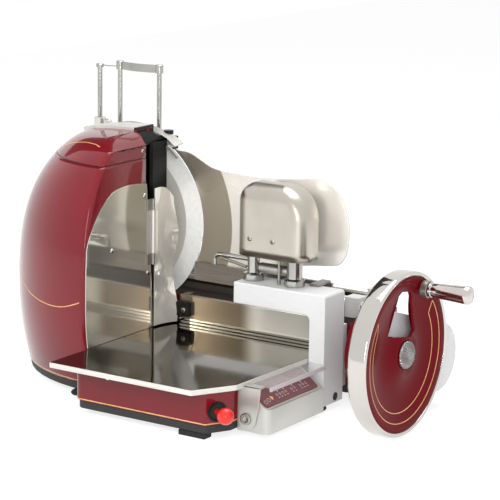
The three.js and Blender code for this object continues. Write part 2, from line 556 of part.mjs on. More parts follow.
// Side view of the cover: round at the front top and the rear top.
function topRound(b) {
  const shape = new THREE.Shape();
  shape.moveTo(b.frontY, b.bottom);
  shape.lineTo(b.rearY, b.bottom);
  shape.absarc(b.rearY - b.radius, b.top - b.radius, b.radius, 0, Math.PI / 2);
  shape.absarc(b.frontY + b.radius, b.top - b.radius, b.radius, Math.PI / 2, Math.PI);
  shape.closePath();
  return shape;
}

// Console beside the tray
function consoleParts() {
  const c = console;
  const high = tray.top - tray.thickness - gap;
  const shape = new THREE.Shape();
  shape.moveTo(c.leftX, c.frontY);
  shape.absarc(c.rightX - c.cornerRadius, c.frontY + c.cornerRadius, c.cornerRadius, -Math.PI / 2, 0);
  shape.lineTo(c.rightX, c.rearY);
  shape.lineTo(c.leftX, c.rearY);
  shape.closePath();
  const profile = outline([[c.leftX, 0], [c.rightX, 0], [c.rightX, c.lowTop], [c.rightX - c.labelInset, c.lowTop],
    [c.leftX + c.shelf, high], [c.leftX, high]]);
  const body = toSolid(slabZ(shape, c.bottom, high))
    .intersect(toSolid(slabY(profile, c.frontY, c.rearY)));
  add("console_body", toGeometry(body), satin);

  const run = [c.rightX - c.labelInset - c.leftX - c.shelf, c.lowTop - high];
  const length = Math.hypot(...run);
  const tilt = Math.atan2(-run[1], run[0]);
  const panelPlan = roundRect(c.labelInset / 2, length - c.labelInset / 2, c.frontY + c.labelInset,
    c.rearY - c.labelInset, c.labelInset);
  const sheet = slabZ(panelPlan, 0, c.labelThickness).rotateY(tilt)
    .translate(c.leftX + c.shelf + gap * Math.sin(tilt), 0, high + gap * Math.cos(tilt));
  add("label_panel", sheet, label);

  const cover = outline([[c.coverLeftX, c.coverHeight], [c.coverRightX - c.coverDrop, c.coverHeight],
    [c.coverRightX, c.lowTop + c.coverDrop], [c.coverRightX, c.lowTop], [c.rightX + gap, c.lowTop],
    [c.rightX + gap, c.lowTop + c.coverDrop - c.coverThickness],
    [c.coverRightX - c.coverDrop - c.coverThickness, c.coverHeight - c.coverThickness],
    [c.coverLeftX, c.coverHeight - c.coverThickness]]);
  add("console_cover", slabY(cover, c.coverFrontY, portal.frontY - gap), clear);

  const b = [tray.chamferX + c.bracketSide, tray.chamferX + c.bracketSide + c.bracketWidth];
  const taper = (c.bracketWidth - c.bracketFoot) / 2;
  const flap = outline([[b[0], c.bracketTop], [b[0] + taper / 2, c.bracketBottom + taper],
    [b[0] + taper, c.bracketBottom], [b[1] - taper, c.bracketBottom], [b[1] - taper / 2, c.bracketBottom + taper],
    [b[1], c.bracketTop]]);
  const front = c.frontY - gap - c.bracketThickness;
  const fold = block(b[0], b[1], front, c.frontY + c.cornerRadius, c.bracketTop - c.bracketThickness, c.bracketTop);
  add("console_bracket", joined(slabY(flap, front, c.frontY - gap), fold), brushed);
}

// Gauge plate with its carrier bar
function gaugeParts() {
  const g = gauge;
  const front = g.rearY - g.thickness;
  const reach = blade.radius + g.clearance;
  const shape = new THREE.Shape();
  const topAngle = Math.acos(g.topLeftX / reach);
  const footAngle = Math.asin((g.footHeight - blade.axisHeight) / reach);
  const [leftX, leftZ] = [g.topLeftX, blade.axisHeight + reach * Math.sin(topAngle)];
  const waveX = g.topLeftX + (g.saddleX - g.topLeftX) * g.waveShare;
  shape.moveTo(leftX, leftZ);
  shape.absarc(0, blade.axisHeight, reach, topAngle, footAngle, true);
  shape.lineTo(g.saddleX, g.footHeight + (g.farBottom - g.footHeight) * g.waveShare);
  shape.lineTo(g.tipX, g.farBottom);
  shape.quadraticCurveTo(g.rightX, g.farBottom, g.rightX, (g.farTop + g.farBottom) / 2);
  shape.quadraticCurveTo(g.rightX, g.farTop, g.farTopX, g.farTop);
  shape.bezierCurveTo(g.saddleX + g.saddleReach, g.saddleTop, g.saddleX, g.saddleTop, waveX + g.saddleReach / 2,
    g.saddleTop + g.saddleRise);
  shape.quadraticCurveTo(waveX, g.saddleTop + 2 * g.saddleRise, waveX - g.saddleReach / 2, leftZ - g.saddleRise);
  shape.quadraticCurveTo(waveX - g.saddleReach, leftZ + g.saddleRise / 2, leftX, leftZ);
  add("gauge_plate", slabY(shape, front, g.rearY, 3 * cornerSteps), mirror);

  const barLeft = Math.sqrt(reach ** 2 - (g.barTop - blade.axisHeight) ** 2);
  const barFront = front - gap - g.barThickness;
  const bar = block(barLeft, g.tipX, barFront, front - gap, g.barTop - g.barHeight, g.barTop);
  const seat = portal.top + gap;
  const riser = block(g.footLeftX, g.footRightX, barFront, front - gap, g.barTop - overrun, seat + g.footRise);
  const slider = block(g.footLeftX, g.footRightX, g.footFrontY, barFront + weld, seat, seat + g.footRise);
  add("gauge_bar", joined(bar, riser, slider), steel);
}

// Blade with its hub, bolts and shaft
function bladeParts() {
  const b = blade;
  const face = -b.thickness;
  const bevelRadius = b.radius - b.bevel;
  const disc = turnedY([[0, face], [bevelRadius, face], [b.radius, -b.edgeThickness], [b.radius, 0], [0, 0]],
    0, 0, b.axisHeight, 2 * roundSides);
  add("blade", disc, mirror);
  const hubFace = face - gap - b.hubHeight;
  const reach = layShaft.pulleyWidth / 2;
  const pulley = rodY(bladePulley.radius, layShaft.pulleyY - reach, layShaft.pulleyY + reach, 0, b.axisHeight, roundSides);
  add("blade_hub", joined(turnedY([[0, face - gap], [b.hubRadius, face - gap], [b.hubRadius - b.hubHeight, hubFace],
    [b.shaftRadius, hubFace], [b.shaftRadius, hubFace - b.shaftLength], [0, hubFace - b.shaftLength]],
    0, 0, b.axisHeight, roundSides), pulley), steel);
}

// Outline of a toothed wheel.
function gearShape(pitch, teeth, toothHeight) {
  const shape = new THREE.Shape();
  const root = pitch - toothHeight / 2 - gap;
  const tip = pitch + toothHeight / 2 - runGap;
  for (let i = 0; i < teeth; i++) {
    const middle = (i + 0.5) / teeth * 2 * Math.PI;
    const step = Math.PI / teeth;
    [[root, -gearSet.rootShare], [tip, -gearSet.tipShare], [tip, gearSet.tipShare], [root, gearSet.rootShare]]
      .forEach(([r, share]) => {
        const a = middle + share * 2 * step;
        if (i === 0 && share === -gearSet.rootShare) shape.moveTo(r * Math.cos(a), r * Math.sin(a));
        else shape.lineTo(r * Math.cos(a), r * Math.sin(a));
      });
  }
  shape.closePath();
  return shape;
}

// Direction from one shaft to the next in the Y-Z plane, and the places of the three gears
const trainAngle = Math.atan2(mainShaftZ - wheel.z, mainShaft.y - wheel.y);
const gearPlace = (step) => [wheel.y + 2 * gearSet.pitch * step * Math.cos(trainAngle),
  wheel.z + 2 * gearSet.pitch * step * Math.sin(trainAngle)];

function spurGear(step) {
  const shape = gearShape(gearSet.pitch, gearSet.teeth, gearSet.toothHeight);
  const [y, z] = gearPlace(step);
  const facing = trainAngle + (step % 2 === 0 ? Math.PI / gearSet.teeth : 0);
  return slabX(shape, -gearSet.face / 2, gearSet.face / 2, cornerSteps).rotateX(facing).translate(gearX, y, z);
}

// Outline round two circles in the Y-Z plane.
function twoCircles([y0, z0], r0, [y1, z1], r1) {
  const along = Math.atan2(z1 - z0, y1 - y0);
  const lean = Math.acos((r0 - r1) / Math.hypot(y1 - y0, z1 - z0));
  const shape = new THREE.Shape();
  shape.absarc(y0, z0, r0, along + lean, along + 2 * Math.PI - lean);
  shape.absarc(y1, z1, r1, along - lean, along + lean);
  shape.closePath();
  return shape;
}

function driveParts() {
  const c = gearCase;
  const [frontPlace, rearPlace] = [gearPlace(0), gearPlace(2)];
  const split = c.rightX - c.wall;
  const outer = slabX(twoCircles(frontPlace, c.radius, rearPlace, c.rearRadius), c.leftX, split - gap, 3 * cornerSteps);
  const inner = slabX(twoCircles(frontPlace, c.radius - c.wall, rearPlace, c.rearRadius - c.wall), c.leftX + c.wall,
    split + overrun, 3 * cornerSteps);
  const bore = rodX(mainShaft.radius + runGap, c.leftX - overrun, c.leftX + c.wall + overrun, mainShaft.y, mainShaftZ);
  const [idleY, idleZ] = gearPlace(1);
  const stud = rodX(gearSet.bore, c.leftX + c.wall - weld, gearX + gearSet.face / 2 + gap, idleY, idleZ);
  add("gear_case", toGeometry(cut(toSolid(outer), inner, bore).add(toSolid(stud))), discRed);

  const lid = slabX(twoCircles(frontPlace, c.radius, rearPlace, c.rearRadius), split, c.rightX, 3 * cornerSteps);
  const ring = rodX(c.hubRadius, c.rightX - weld, c.rightX + c.hubLength, wheel.y, wheel.z);
  const lidBore = rodX(wheel.shaftRadius + runGap, split - overrun, c.rightX + c.hubLength + overrun, wheel.y, wheel.z);
  add("gear_case_cover", toGeometry(cut(join(lid, ring), lidBore)), black);

  const arm = slabX(roundRect(c.armFrontY, c.armRearY, tower.baseHeight, c.armTop, c.armRadius), rear.rightX + gap,
    c.leftX - gap);
  add("drive_arm", carved(arm, rodX(mainShaft.radius + runGap, rear.rightX - overrun, c.leftX + overrun,
    mainShaft.y, mainShaftZ)), discRed);

  const idlerBore = rodX(gearSet.bore + gap, c.leftX, c.rightX, idleY, idleZ);
  add("idler_gear", carved(spurGear(1), idlerBore), steel);

  const shaftEnd = gearX + gearSet.face / 2 + overrun;
  const place = mainShaft.leftX;
  const shaft = rodX(mainShaft.radius, place, shaftEnd, mainShaft.y, mainShaftZ);
  const crown = bevelGear(bevel.largeRadius, bevel.smallRadius, bevel.teeth, 0)
    .rotateZ(-Math.PI / 2).translate(0, mainShaft.y, mainShaftZ);
  add("main_shaft", joined(shaft, crown, spurGear(2)), steel);

  const pinion = bevelGear(bevel.smallRadius, bevel.largeRadius, bevel.teeth / 2, 0.5)
    .translate(0, mainShaft.y, mainShaftZ);
  const pulley = rodY(layShaft.pulleyRadius, layShaft.pulleyY - layShaft.pulleyWidth / 2,
    layShaft.pulleyY + layShaft.pulleyWidth / 2, 0, mainShaftZ, roundSides);
  const lay = rodY(layShaft.radius, layShaft.frontY, mainShaft.y - bevel.largeRadius + overrun, 0, mainShaftZ);
  add("lay_shaft", joined(lay, pinion, pulley), steel);

  const reach = layShaft.pulleyWidth / 2;
  const loop = twoCircles([0, mainShaftZ], layShaft.pulleyRadius + gap + layShaft.beltThickness,
    [0, blade.axisHeight], bladePulley.radius + gap + layShaft.beltThickness);
  loop.holes.push(new THREE.Path(twoCircles([0, mainShaftZ], layShaft.pulleyRadius + gap,
    [0, blade.axisHeight], bladePulley.radius + gap).getPoints(3 * cornerSteps)));
  add("drive_belt", slabY(loop, layShaft.pulleyY - reach + gap, layShaft.pulleyY + reach - gap, 3 * cornerSteps), rubber);

  const s = layShaft;
  const stand = block(-s.standWidth / 2, s.standWidth / 2, s.standFront, s.standFront + s.standDepth,
    tower.baseHeight, blade.axisHeight + s.standRise);
  const bores = [[blade.shaftRadius, blade.axisHeight], [s.radius, mainShaftZ]].map(([r, z]) =>
    rodY(r + gap, s.standFront - overrun, s.standFront + s.standDepth + overrun, 0, z));
  add("bearing_stand", carved(stand, ...bores), satin);
}

// Bevel gear whose axis is the Y axis, apex at the origin and teeth on the far side, towards -Y.
function bevelGear(radius, distance, teeth, phase) {
  const toothed = (scale) => {
    const root = radius - bevel.toothHeight / 2 - gap;
    const tip = radius + bevel.toothHeight / 2 - runGap;
    const points = [];
    for (let i = 0; i < teeth; i++) {
      [[root, -gearSet.rootShare], [tip, -gearSet.tipShare], [tip, gearSet.tipShare], [root, gearSet.rootShare]]
        .forEach(([r, share]) => {
          const a = (i + phase + share) / teeth * 2 * Math.PI;
          points.push([scale * r * Math.cos(a), scale * r * Math.sin(a)]);
        });
    }
    return points;
  };
  const near = distance * bevel.nearShare;
  const teethSolid = loft([-distance, -near], (z) => toothed(z === -distance ? 1 : bevel.nearShare));
  return teethSolid.rotateX(-Math.PI / 2);
}

function flywheelParts() {
  const w = wheel;
  const inner = w.discRadius + gap;
  const back = -w.rimDepth;
  const round = (w.rimRadius - inner) * 0.5;
  const profile = [[inner, -w.discThickness - gap], [inner, w.lip - round], [inner + round, w.lip],
    [w.rimRadius - round, w.lip], [w.rimRadius, w.lip - 2 * round], [w.rimRadius, back + 3 * round],
    [w.rimRadius - round, back + round], [w.rimRadius - 2 * round, back], [inner - w.shoulder, back + round],
    [inner - w.shoulder, -w.discThickness - gap], [inner, -w.discThickness - gap]];
  add("flywheel_rim", turnedX(profile, w.x, w.y, w.z, 2 * roundSides), chrome);

  const dished = [[w.hubRadius + gap, 0], [w.capRadius + w.lip, 0], [w.discRadius * w.dishShare, -w.dish],
    [w.discRadius * (1 - w.edgeShare), 0], [w.discRadius, 0], [w.discRadius, -w.discThickness],
    [w.discRadius * (1 - w.edgeShare), -w.discThickness], [w.discRadius * w.dishShare, -w.dish - w.discThickness],
    [w.capRadius + w.lip, -w.discThickness], [w.hubRadius + gap, -w.discThickness], [w.hubRadius + gap, 0]];
  const plate = turnedX(dished, w.x, w.y, w.z, 2 * roundSides);
  const hole = slabX(outline(windowShares.map(([y, z]) => [w.y + y * w.discRadius, w.z + z * w.discRadius])),
    w.x - w.dish - w.discThickness - overrun, w.x + overrun);
  const [pinY, pinZ] = [w.y + w.crankRadius * Math.cos(degrees(w.crankAngle)),
    w.z + w.crankRadius * Math.sin(degrees(w.crankAngle))];
  const pinHole = rodX(w.pinRadius + gap, w.x - w.dish - w.discThickness - overrun, w.x + overrun, pinY, pinZ);
  add("flywheel_disc", carved(plate, hole, pinHole), discRed);

  const shaftStart = gearX - gearSet.face / 2;
  const hubStart = gearCase.rightX + gearCase.hubLength + runGap;
  add("flywheel_shaft", joined(turnedX([[0, shaftStart], [gearSet.bore, shaftStart], [gearSet.bore, gearCase.rightX - gearCase.wall],
    [w.shaftRadius, gearCase.rightX - gearCase.wall], [w.shaftRadius, hubStart], [w.hubRadius, hubStart],
    [w.hubRadius, w.x], [0, w.x]], 0, w.y, w.z, roundSides), spurGear(0)), steel);
  add("hub_cap", turnedX([[0, gap], [w.capRadius, gap], [w.capRadius, w.capHeight * 0.3],
    [w.capRadius * 0.82, w.capHeight * 0.75], [w.capRadius * 0.4, w.capHeight], [0, w.capHeight]],
    w.x, w.y, w.z, roundSides), chrome);

  const g = grip;
  const collarEnd = g.collar;
  const pinEnd = g.collar + g.standOff + g.length * g.pinShare;
  add("crank_pin", turnedX([[0, -w.pinBack], [w.pinRadius, -w.pinBack], [w.pinRadius, w.lip],
    [g.collarRadius, w.lip], [g.collarRadius, collarEnd], [w.pinRadius, collarEnd], [w.pinRadius, pinEnd], [0, pinEnd]],
    w.x, pinY, pinZ, smallSides), chrome);
  const start = collarEnd + runGap;
  const end = collarEnd + g.standOff + g.length;
  add("crank_grip", turnedX([[w.pinRadius + runGap, start], [g.rootRadius, start], [g.rootRadius * 0.92, start + g.standOff],
    [g.rootRadius, start + 2 * g.standOff], [g.endRadius, end - g.standOff], [g.endRadius * 0.9, end - g.standOff / 4],
    [g.endRadius * 0.7, end], [0, end], [0, pinEnd + runGap], [w.pinRadius + runGap, pinEnd + runGap],
    [w.pinRadius + runGap, start]], w.x, pinY, pinZ, roundSides / 1.5), chrome);
}

// Slice deflector: a bowed sheet from its hinge to a wavy free edge, as points across and up it.
function bowedSheet(d, start, along, normal, length) {
  const face = [];
  for (let j = 0; j <= d.rows; j++) {
    const rise = j / d.rows;
    for (let i = 0; i <= d.columns; i++) {
      const share = i / d.columns;
      const reach = start + (length - start) * share;
      const crown = d.top - (d.top - d.shoulder) * share ** d.crownPower;
      const sway = share * d.wave * Math.cos(2 * Math.PI * (rise * d.waves - d.wavePhase));
      const bow = sway - share * (1 - share) * d.bulge;
      face.push([d.hingeX + along[0] * reach + normal[0] * bow, d.hingeY + along[1] * reach + normal[1] * bow,
        d.bottom + (crown - d.bottom) * rise]);
    }
  }
  const back = face.map(([x, y, z]) => [x - normal[0] * d.thickness, y - normal[1] * d.thickness, z]);
  const index = [];
  const quad = (a, b, c, e) => index.push(a, b, c, a, c, e);
  const at = (i, j) => j * (d.columns + 1) + i;
  const far = (i, j) => face.length + at(i, j);
  for (let j = 0; j < d.rows; j++) {
    for (let i = 0; i < d.columns; i++) {
      quad(at(i, j), at(i + 1, j), at(i + 1, j + 1), at(i, j + 1));
      quad(far(i, j), far(i, j + 1), far(i + 1, j + 1), far(i + 1, j));
    }
    quad(at(0, j), at(0, j + 1), far(0, j + 1), far(0, j));
    quad(at(d.columns, j), far(d.columns, j), far(d.columns, j + 1), at(d.columns, j + 1));
  }
  for (let i = 0; i < d.columns; i++) {
    quad(at(i, 0), far(i, 0), far(i + 1, 0), at(i + 1, 0));
    quad(at(i, d.rows), at(i + 1, d.rows), far(i + 1, d.rows), far(i, d.rows));
  }
  const sheet = new THREE.BufferGeometry();
  sheet.setAttribute("position", new THREE.Float32BufferAttribute([...face, ...back].flat(), 3));
  sheet.setIndex(index);
  return sheet;
}

function deflectorParts() {
  const d = deflector;
  const run = [d.freeX - d.hingeX, d.freeY - d.hingeY];
  const length = Math.hypot(...run);
  const along = [run[0] / length, run[1] / length];
  const start = d.knuckleRadius + runGap;
  const sheet = bowedSheet(d, start, along, [along[1], -along[0]], length);
  const barrelZ = [d.lowerKnuckle + d.knuckleLength + gap, d.upperKnuckle - gap];
  const barrel = rodZ(d.knuckleRadius, ...barrelZ, d.hingeX, d.hingeY);
  const leaf = slabZ(outline([[0, 0], [start + overrun, 0], [start + overrun, d.thickness], [0, d.thickness]]), ...barrelZ)
    .rotateZ(Math.atan2(run[1], run[0])).translate(d.hingeX, d.hingeY, 0);
  const pinHole = rodZ(d.pinRadius + gap, d.lowerKnuckle, d.upperKnuckle + d.knuckleLength, d.hingeX, d.hingeY);
  add("slice_deflector", toGeometry(cut(join(sheet, barrel, leaf), pinHole)), mirror);

  const tabX = tower.wallX + wallPlate.thickness + 2 * gap;
  const eyes = [d.lowerKnuckle, d.upperKnuckle].flatMap((z) => [
    rodZ(d.knuckleRadius, z, z + d.knuckleLength, d.hingeX, d.hingeY),
    block(tabX, tabX + d.thickness, d.hingeY - d.leaf, d.hingeY, z, z + d.knuckleLength)]);
  const pin = rodZ(d.pinRadius, d.lowerKnuckle, d.upperKnuckle + d.knuckleLength, d.hingeX, d.hingeY);
  add("deflector_hinge", joined(pin, ...eyes), steel);
}

// Guards round the blade, and the sharpener over it
function arcBand(inner, thickness, from, to, y0, y1) {
  const shape = new THREE.Shape();
  shape.absarc(0, blade.axisHeight, inner + thickness, degrees(from), degrees(to));
  shape.absarc(0, blade.axisHeight, inner, degrees(to), degrees(from), true);
  shape.closePath();
  return slabY(shape, y0, y1, 2 * cornerSteps);
}

function guardParts() {
  const g = guardStrip;
  const bandBottom = blade.axisHeight + g.inner;
  const ear = block(0, g.earWidth, tower.rearY + gap, g.earRearY, bandBottom - g.earDrop, bandBottom + g.thickness / 2);
  const sweptFront = gauge.rearY - gauge.thickness - gauge.travel - runGap;
  const visor = arcBand(g.inner, g.thickness, g.startAngle, g.bridgeHighAngle, g.visorFrontY, sweptFront);
  const bridge = arcBand(g.inner, g.thickness, g.bridgeLowAngle, g.bridgeHighAngle, g.visorFrontY, g.rearY);
  const rearBand = arcBand(g.inner, g.thickness, g.bridgeLowAngle, g.endAngle, g.frontY, g.rearY);
  add("guard_strip", joined(visor, bridge, rearBand, ear), brushed);
  const r = guardRing;
  add("guard_ring", arcBand(r.inner, r.thickness, r.startAngle, r.endAngle, tower.rearY + gap, r.rearY), brushed);

  const s = sharpener;
  const frontY = g.rearY + gap;
  const bodyFloor = blade.axisHeight + s.rise;
  const bodyTop = bodyFloor + s.height;
  const body = block(s.x - s.width / 2, s.x + s.width / 2, frontY, frontY + s.depth, bodyFloor, bodyTop);
  const knob = turnedZ([[0, -weld], [s.neckRadius, -weld], [s.neckRadius, s.neckHeight], [s.knobRadius, s.neckHeight],
    [s.knobRadius, s.neckHeight + s.knobHeight], [0, s.neckHeight + s.knobHeight]], s.x, frontY + s.depth / 2, bodyTop,
    smallSides);
  add("sharpener_body", joined(body, knob), black);
}

// Carriage on the rails, with the cross rails of the product table
function carriageParts() {
  const c = carriage;
  const right = c.leftX + c.length;
  const top = c.bottom + c.thickness;
  const [front, back] = [rails.frontY - c.blockWidth / 2, rails.rearY + c.blockWidth / 2];
  const plate = block(c.leftX, right, front, back, c.bottom, top);
  const under = rails.height - rails.radius - c.skirt;
  const blocks = [rails.frontY, rails.rearY].flatMap((y) => [c.leftX, right - c.blockLength].map((x) =>
    block(x, x + c.blockLength, y - c.blockWidth / 2, y + c.blockWidth / 2, under, c.bottom + weld)));
  const bores = [rails.frontY, rails.rearY].map((y) =>
    rodX(rails.radius + gap, c.leftX - overrun, right + overrun, y, rails.height));
  const runners = crossRailX.map((x) => block(x, x + table.runnerWidth, front, back, top - weld, top + table.railHeight));
  const bearing = block(feedX - feed.blockWidth / 2, feedX + feed.blockWidth / 2, back - feed.blockWidth, back,
    top - weld, top + table.railHeight - gap);
  const screwHole = rodY(feed.shaftRadius + gap, back - feed.blockWidth - overrun, back + overrun, feedX, feedZ);
  add("carriage", toGeometry(cut(join(plate, ...blocks, ...runners, bearing), ...bores, screwHole)), satin);
}

function tableParts() {
  const t = table;
  const floor = tableTop - t.thickness;
  const plate = block(t.leftX, t.leftX + t.length, t.frontY, t.rearY, floor, tableTop);
  const railFloor = carriage.bottom + carriage.thickness + gap;
  const lips = crossRailX.flatMap((x) => [x - gap - t.guide, x + t.runnerWidth + gap].map((lipX) =>
    block(lipX, lipX + t.guide, t.frontY, t.rearY, railFloor, floor + weld)));
  const fence = block(t.leftX, t.leftX + t.fenceThickness, t.frontY, t.rearY, tableTop - weld, tableTop + t.fenceHeight);
  add("product_table", joined(plate, ...lips, fence), brushed);
  const f = feed;
  const y0 = rails.rearY + carriage.blockWidth / 2;
  add("feed_screw", turnedY([[0, f.frontY], [f.shaftRadius, f.frontY], [f.shaftRadius, y0 + gap], [f.collarRadius, y0 + gap],
    [f.collarRadius, y0 + f.clear], [f.shaftRadius, y0 + f.clear], [f.shaftRadius, y0 + f.reach], [f.wheelRadius, y0 + f.reach],
    [f.wheelRadius, y0 + f.reach + f.wheelThickness], [0, y0 + f.reach + f.wheelThickness]], feedX, 0, feedZ), black);
}

// Press over the table: two posts with a bowed strap, a third post for the fence, and the bar that rides them
function pressParts() {
  const p = press;
  const strap = new THREE.Shape();
  const half = (p.rightX - p.leftX) / 2;
  const middle = (p.rightX + p.leftX) / 2;
  const bowRadius = (half ** 2 + p.strapBow ** 2) / (2 * p.strapBow);
  const swing = Math.asin(half / bowRadius);
  const centreY = p.y - p.strapBow + bowRadius;
  strap.absarc(middle, centreY, bowRadius + p.strapThickness / 2, -Math.PI / 2 - swing, -Math.PI / 2 + swing);
  strap.absarc(middle, centreY, bowRadius - p.strapThickness / 2, -Math.PI / 2 + swing, -Math.PI / 2 - swing, true);
  strap.closePath();
  const posts = [p.leftX, p.rightX].flatMap((x) => [
    rodZ(p.radius, tableTop + gap, p.top, x, p.y), rodZ(p.capRadius, p.top - weld, p.top + p.strapHeight, x, p.y)]);
  const band = slabZ(strap, p.top + weld, p.top + p.strapHeight - weld, 2 * cornerSteps);
  add("press_frame", joined(...posts, band), chrome);

  const reach = p.clampSize / 2;
  const side = [rodZ(p.radius, tableTop + gap, p.top, p.sideX, p.y), rodZ(p.capRadius, p.top - weld, p.top + p.capHeight, p.sideX, p.y),
    block(p.sideX - reach, p.sideX + reach, p.y - reach, p.y + reach, p.clampHeight - reach, p.clampHeight + reach),
    rodX(p.clampKnobRadius, p.sideX + reach - weld, p.sideX + reach + p.clampKnobLength, p.y, p.clampHeight)];
  add("fence_post", joined(...side), chrome);

  const [x0, x1] = [p.leftX - p.barOverhang, p.rightX + p.barOverhang];
  const bar = block(x0, x1, p.y - p.barThickness / 2, p.y + p.barThickness / 2, p.barRest, p.barRest + p.barHeight);
  const pitch = (x1 - x0) / p.teeth;
  const spikes = Array.from({ length: p.teeth }, (_, i) => {
    const x = x0 + (i + 0.5) * pitch;
    const base = pitch * p.toothShare;
    return slabY(outline([[x - base, p.barRest + weld], [x, p.barRest - p.toothHeight], [x + base, p.barRest + weld]]),
      p.y - p.barThickness / 4, p.y + p.barThickness / 4);
  });
  const holes = [p.leftX, p.rightX].map((x) =>
    rodZ(p.radius + gap, p.barRest - p.toothHeight - overrun, p.barRest + p.barHeight + overrun, x, p.y));
  add("press_bar", toGeometry(cut(join(bar, ...spikes), ...holes)), brushed);
}

function knobParts() {
  const k = redKnob;
  const stem = rodX(k.stemRadius, -base.recessDepth - base.wall, k.stemLength, 0, 0);
  const ball = new THREE.SphereGeometry(k.radius, smallSides, smallSides / 2).translate(k.stemLength + k.radius * k.sink, 0, 0);
  add("push_knob", outOfChamfer(joined(ball, stem)), knobRed);
}

towerParts();
towerTrim();
baseParts();
footParts();
panelParts();
rearParts();
portalParts();
consoleParts();
gaugeParts();
bladeParts();
driveParts();
flywheelParts();
deflectorParts();
guardParts();
carriageParts();
tableParts();
pressParts();
knobParts();

// The origin goes to the middle of the footprint, on the floor.
const bounds = new THREE.Box3().setFromObject(slicer);
const middle = bounds.getCenter(new THREE.Vector3());
slicer.children.forEach((mesh) => mesh.geometry.translate(-middle.x, -middle.y, -bounds.min.z));

export default slicer;
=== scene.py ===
import json
import math

import bmesh
import bpy
import numpy as np
from mathutils import Matrix, Vector
from mathutils.geometry import delaunay_2d_cdt

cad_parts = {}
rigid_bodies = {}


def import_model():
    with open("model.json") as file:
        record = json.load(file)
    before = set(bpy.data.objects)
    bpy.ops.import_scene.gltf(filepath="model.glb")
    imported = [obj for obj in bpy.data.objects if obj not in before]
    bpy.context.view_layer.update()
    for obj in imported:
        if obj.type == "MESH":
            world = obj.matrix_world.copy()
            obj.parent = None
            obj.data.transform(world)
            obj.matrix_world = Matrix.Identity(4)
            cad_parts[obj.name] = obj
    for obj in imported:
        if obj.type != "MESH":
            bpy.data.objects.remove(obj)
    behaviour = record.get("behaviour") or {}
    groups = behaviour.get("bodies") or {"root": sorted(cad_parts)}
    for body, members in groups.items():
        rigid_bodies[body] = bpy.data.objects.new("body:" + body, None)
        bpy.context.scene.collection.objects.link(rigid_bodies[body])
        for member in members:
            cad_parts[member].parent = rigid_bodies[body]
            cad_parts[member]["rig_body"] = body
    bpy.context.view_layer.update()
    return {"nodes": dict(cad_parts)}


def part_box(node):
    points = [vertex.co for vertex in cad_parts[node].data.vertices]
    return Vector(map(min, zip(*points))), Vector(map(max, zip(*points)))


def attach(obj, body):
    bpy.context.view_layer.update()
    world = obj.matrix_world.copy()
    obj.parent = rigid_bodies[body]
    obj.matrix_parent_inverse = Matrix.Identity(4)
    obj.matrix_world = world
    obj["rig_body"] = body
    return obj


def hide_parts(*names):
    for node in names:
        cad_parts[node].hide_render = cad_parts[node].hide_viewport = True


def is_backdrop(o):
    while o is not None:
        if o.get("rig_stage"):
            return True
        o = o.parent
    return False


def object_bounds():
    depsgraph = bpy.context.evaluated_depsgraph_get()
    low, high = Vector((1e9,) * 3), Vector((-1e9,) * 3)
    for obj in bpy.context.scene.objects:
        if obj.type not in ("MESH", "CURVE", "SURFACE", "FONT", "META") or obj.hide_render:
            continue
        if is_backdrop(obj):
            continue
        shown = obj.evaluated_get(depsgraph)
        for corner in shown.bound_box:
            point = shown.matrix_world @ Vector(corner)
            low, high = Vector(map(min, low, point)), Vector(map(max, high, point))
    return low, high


# Looks of a hand cranked meat slicer. Lengths are millimetres in the source frame: X right, Y back,
# Z up, with the blade's axis over X = 0, Y = 0. place() turns them into the shared frame's metres.
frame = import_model()
nodes = frame["nodes"]
bladeLow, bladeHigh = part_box("blade")
milli = 0.001
origin = np.array([(bladeLow.x + bladeHigh.x) / 2, bladeHigh.y, 0.0])
bladeZ = (bladeLow.z + bladeHigh.z) / 2 / milli
# Doubles nearer than these metres are merged; a solid's faces within this angle count as one.
merging = {"surface": 0.00001, "solid": 0.00002, "flatDegrees": 0.5}
print("frame loaded")


# Source millimetres as metres in the shared frame.
def place(points):
    return np.asarray(points, float) * milli + origin


# A new object for some data, linked to the scene.
def addObject(name, data):
    thing = bpy.data.objects.new(name, data)
    bpy.context.scene.collection.objects.link(thing)
    return thing


# A mesh becomes a piece: doubles merged, faces outwards, creases marked, then its wall and eased edges.
def dress(name, mesh, look, body, replaced=(), sharp=35, bevel=0, steps=2, thick=0):
    work = bmesh.new()
    work.from_mesh(mesh)
    bmesh.ops.remove_doubles(work, verts=work.verts, dist=merging["surface"])
    bmesh.ops.recalc_face_normals(work, faces=work.faces)
    work.to_mesh(mesh)
    work.free()
    mesh.polygons.foreach_set("use_smooth", [True] * len(mesh.polygons))
    mesh.set_sharp_from_angle(angle=math.radians(sharp))
    piece = addObject(name, mesh)
    mesh.materials.append(looks[look])
    if thick:
        shell = piece.modifiers.new("thickness", "SOLIDIFY")
        shell.thickness = thick * milli
        shell.offset = -1
    if bevel:
        edge = piece.modifiers.new("edges", "BEVEL")
        edge.width = bevel * milli
        edge.segments = steps
        edge.limit_method = "ANGLE"
        edge.angle_limit = math.radians(sharp)
        edge.harden_normals = True
    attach(piece, body)
    if replaced:
        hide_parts(*replaced)
    return piece


# A piece from points in source millimetres and faces.
def addMesh(name, points, faces, look, body, **more):
    mesh = bpy.data.meshes.new(name)
    mesh.from_pydata(place(points).tolist(), [], [list(map(int, face)) for face in faces])
    return dress(name, mesh, look, body, **more)


# Four-sided faces between neighbouring rows and columns; a closed way joins its last line to its first.
def gridFaces(rows, columns, closeRows, closeColumns):
    i, j = np.meshgrid(np.arange(rows if closeRows else rows - 1),
                       np.arange(columns if closeColumns else columns - 1), indexing="ij")
    i, j = i.ravel(), j.ravel()
    nextI, nextJ = (i + 1) % rows, (j + 1) % columns
    return np.stack([i * columns + j, i * columns + nextJ, nextI * columns + nextJ, nextI * columns + j], 1)


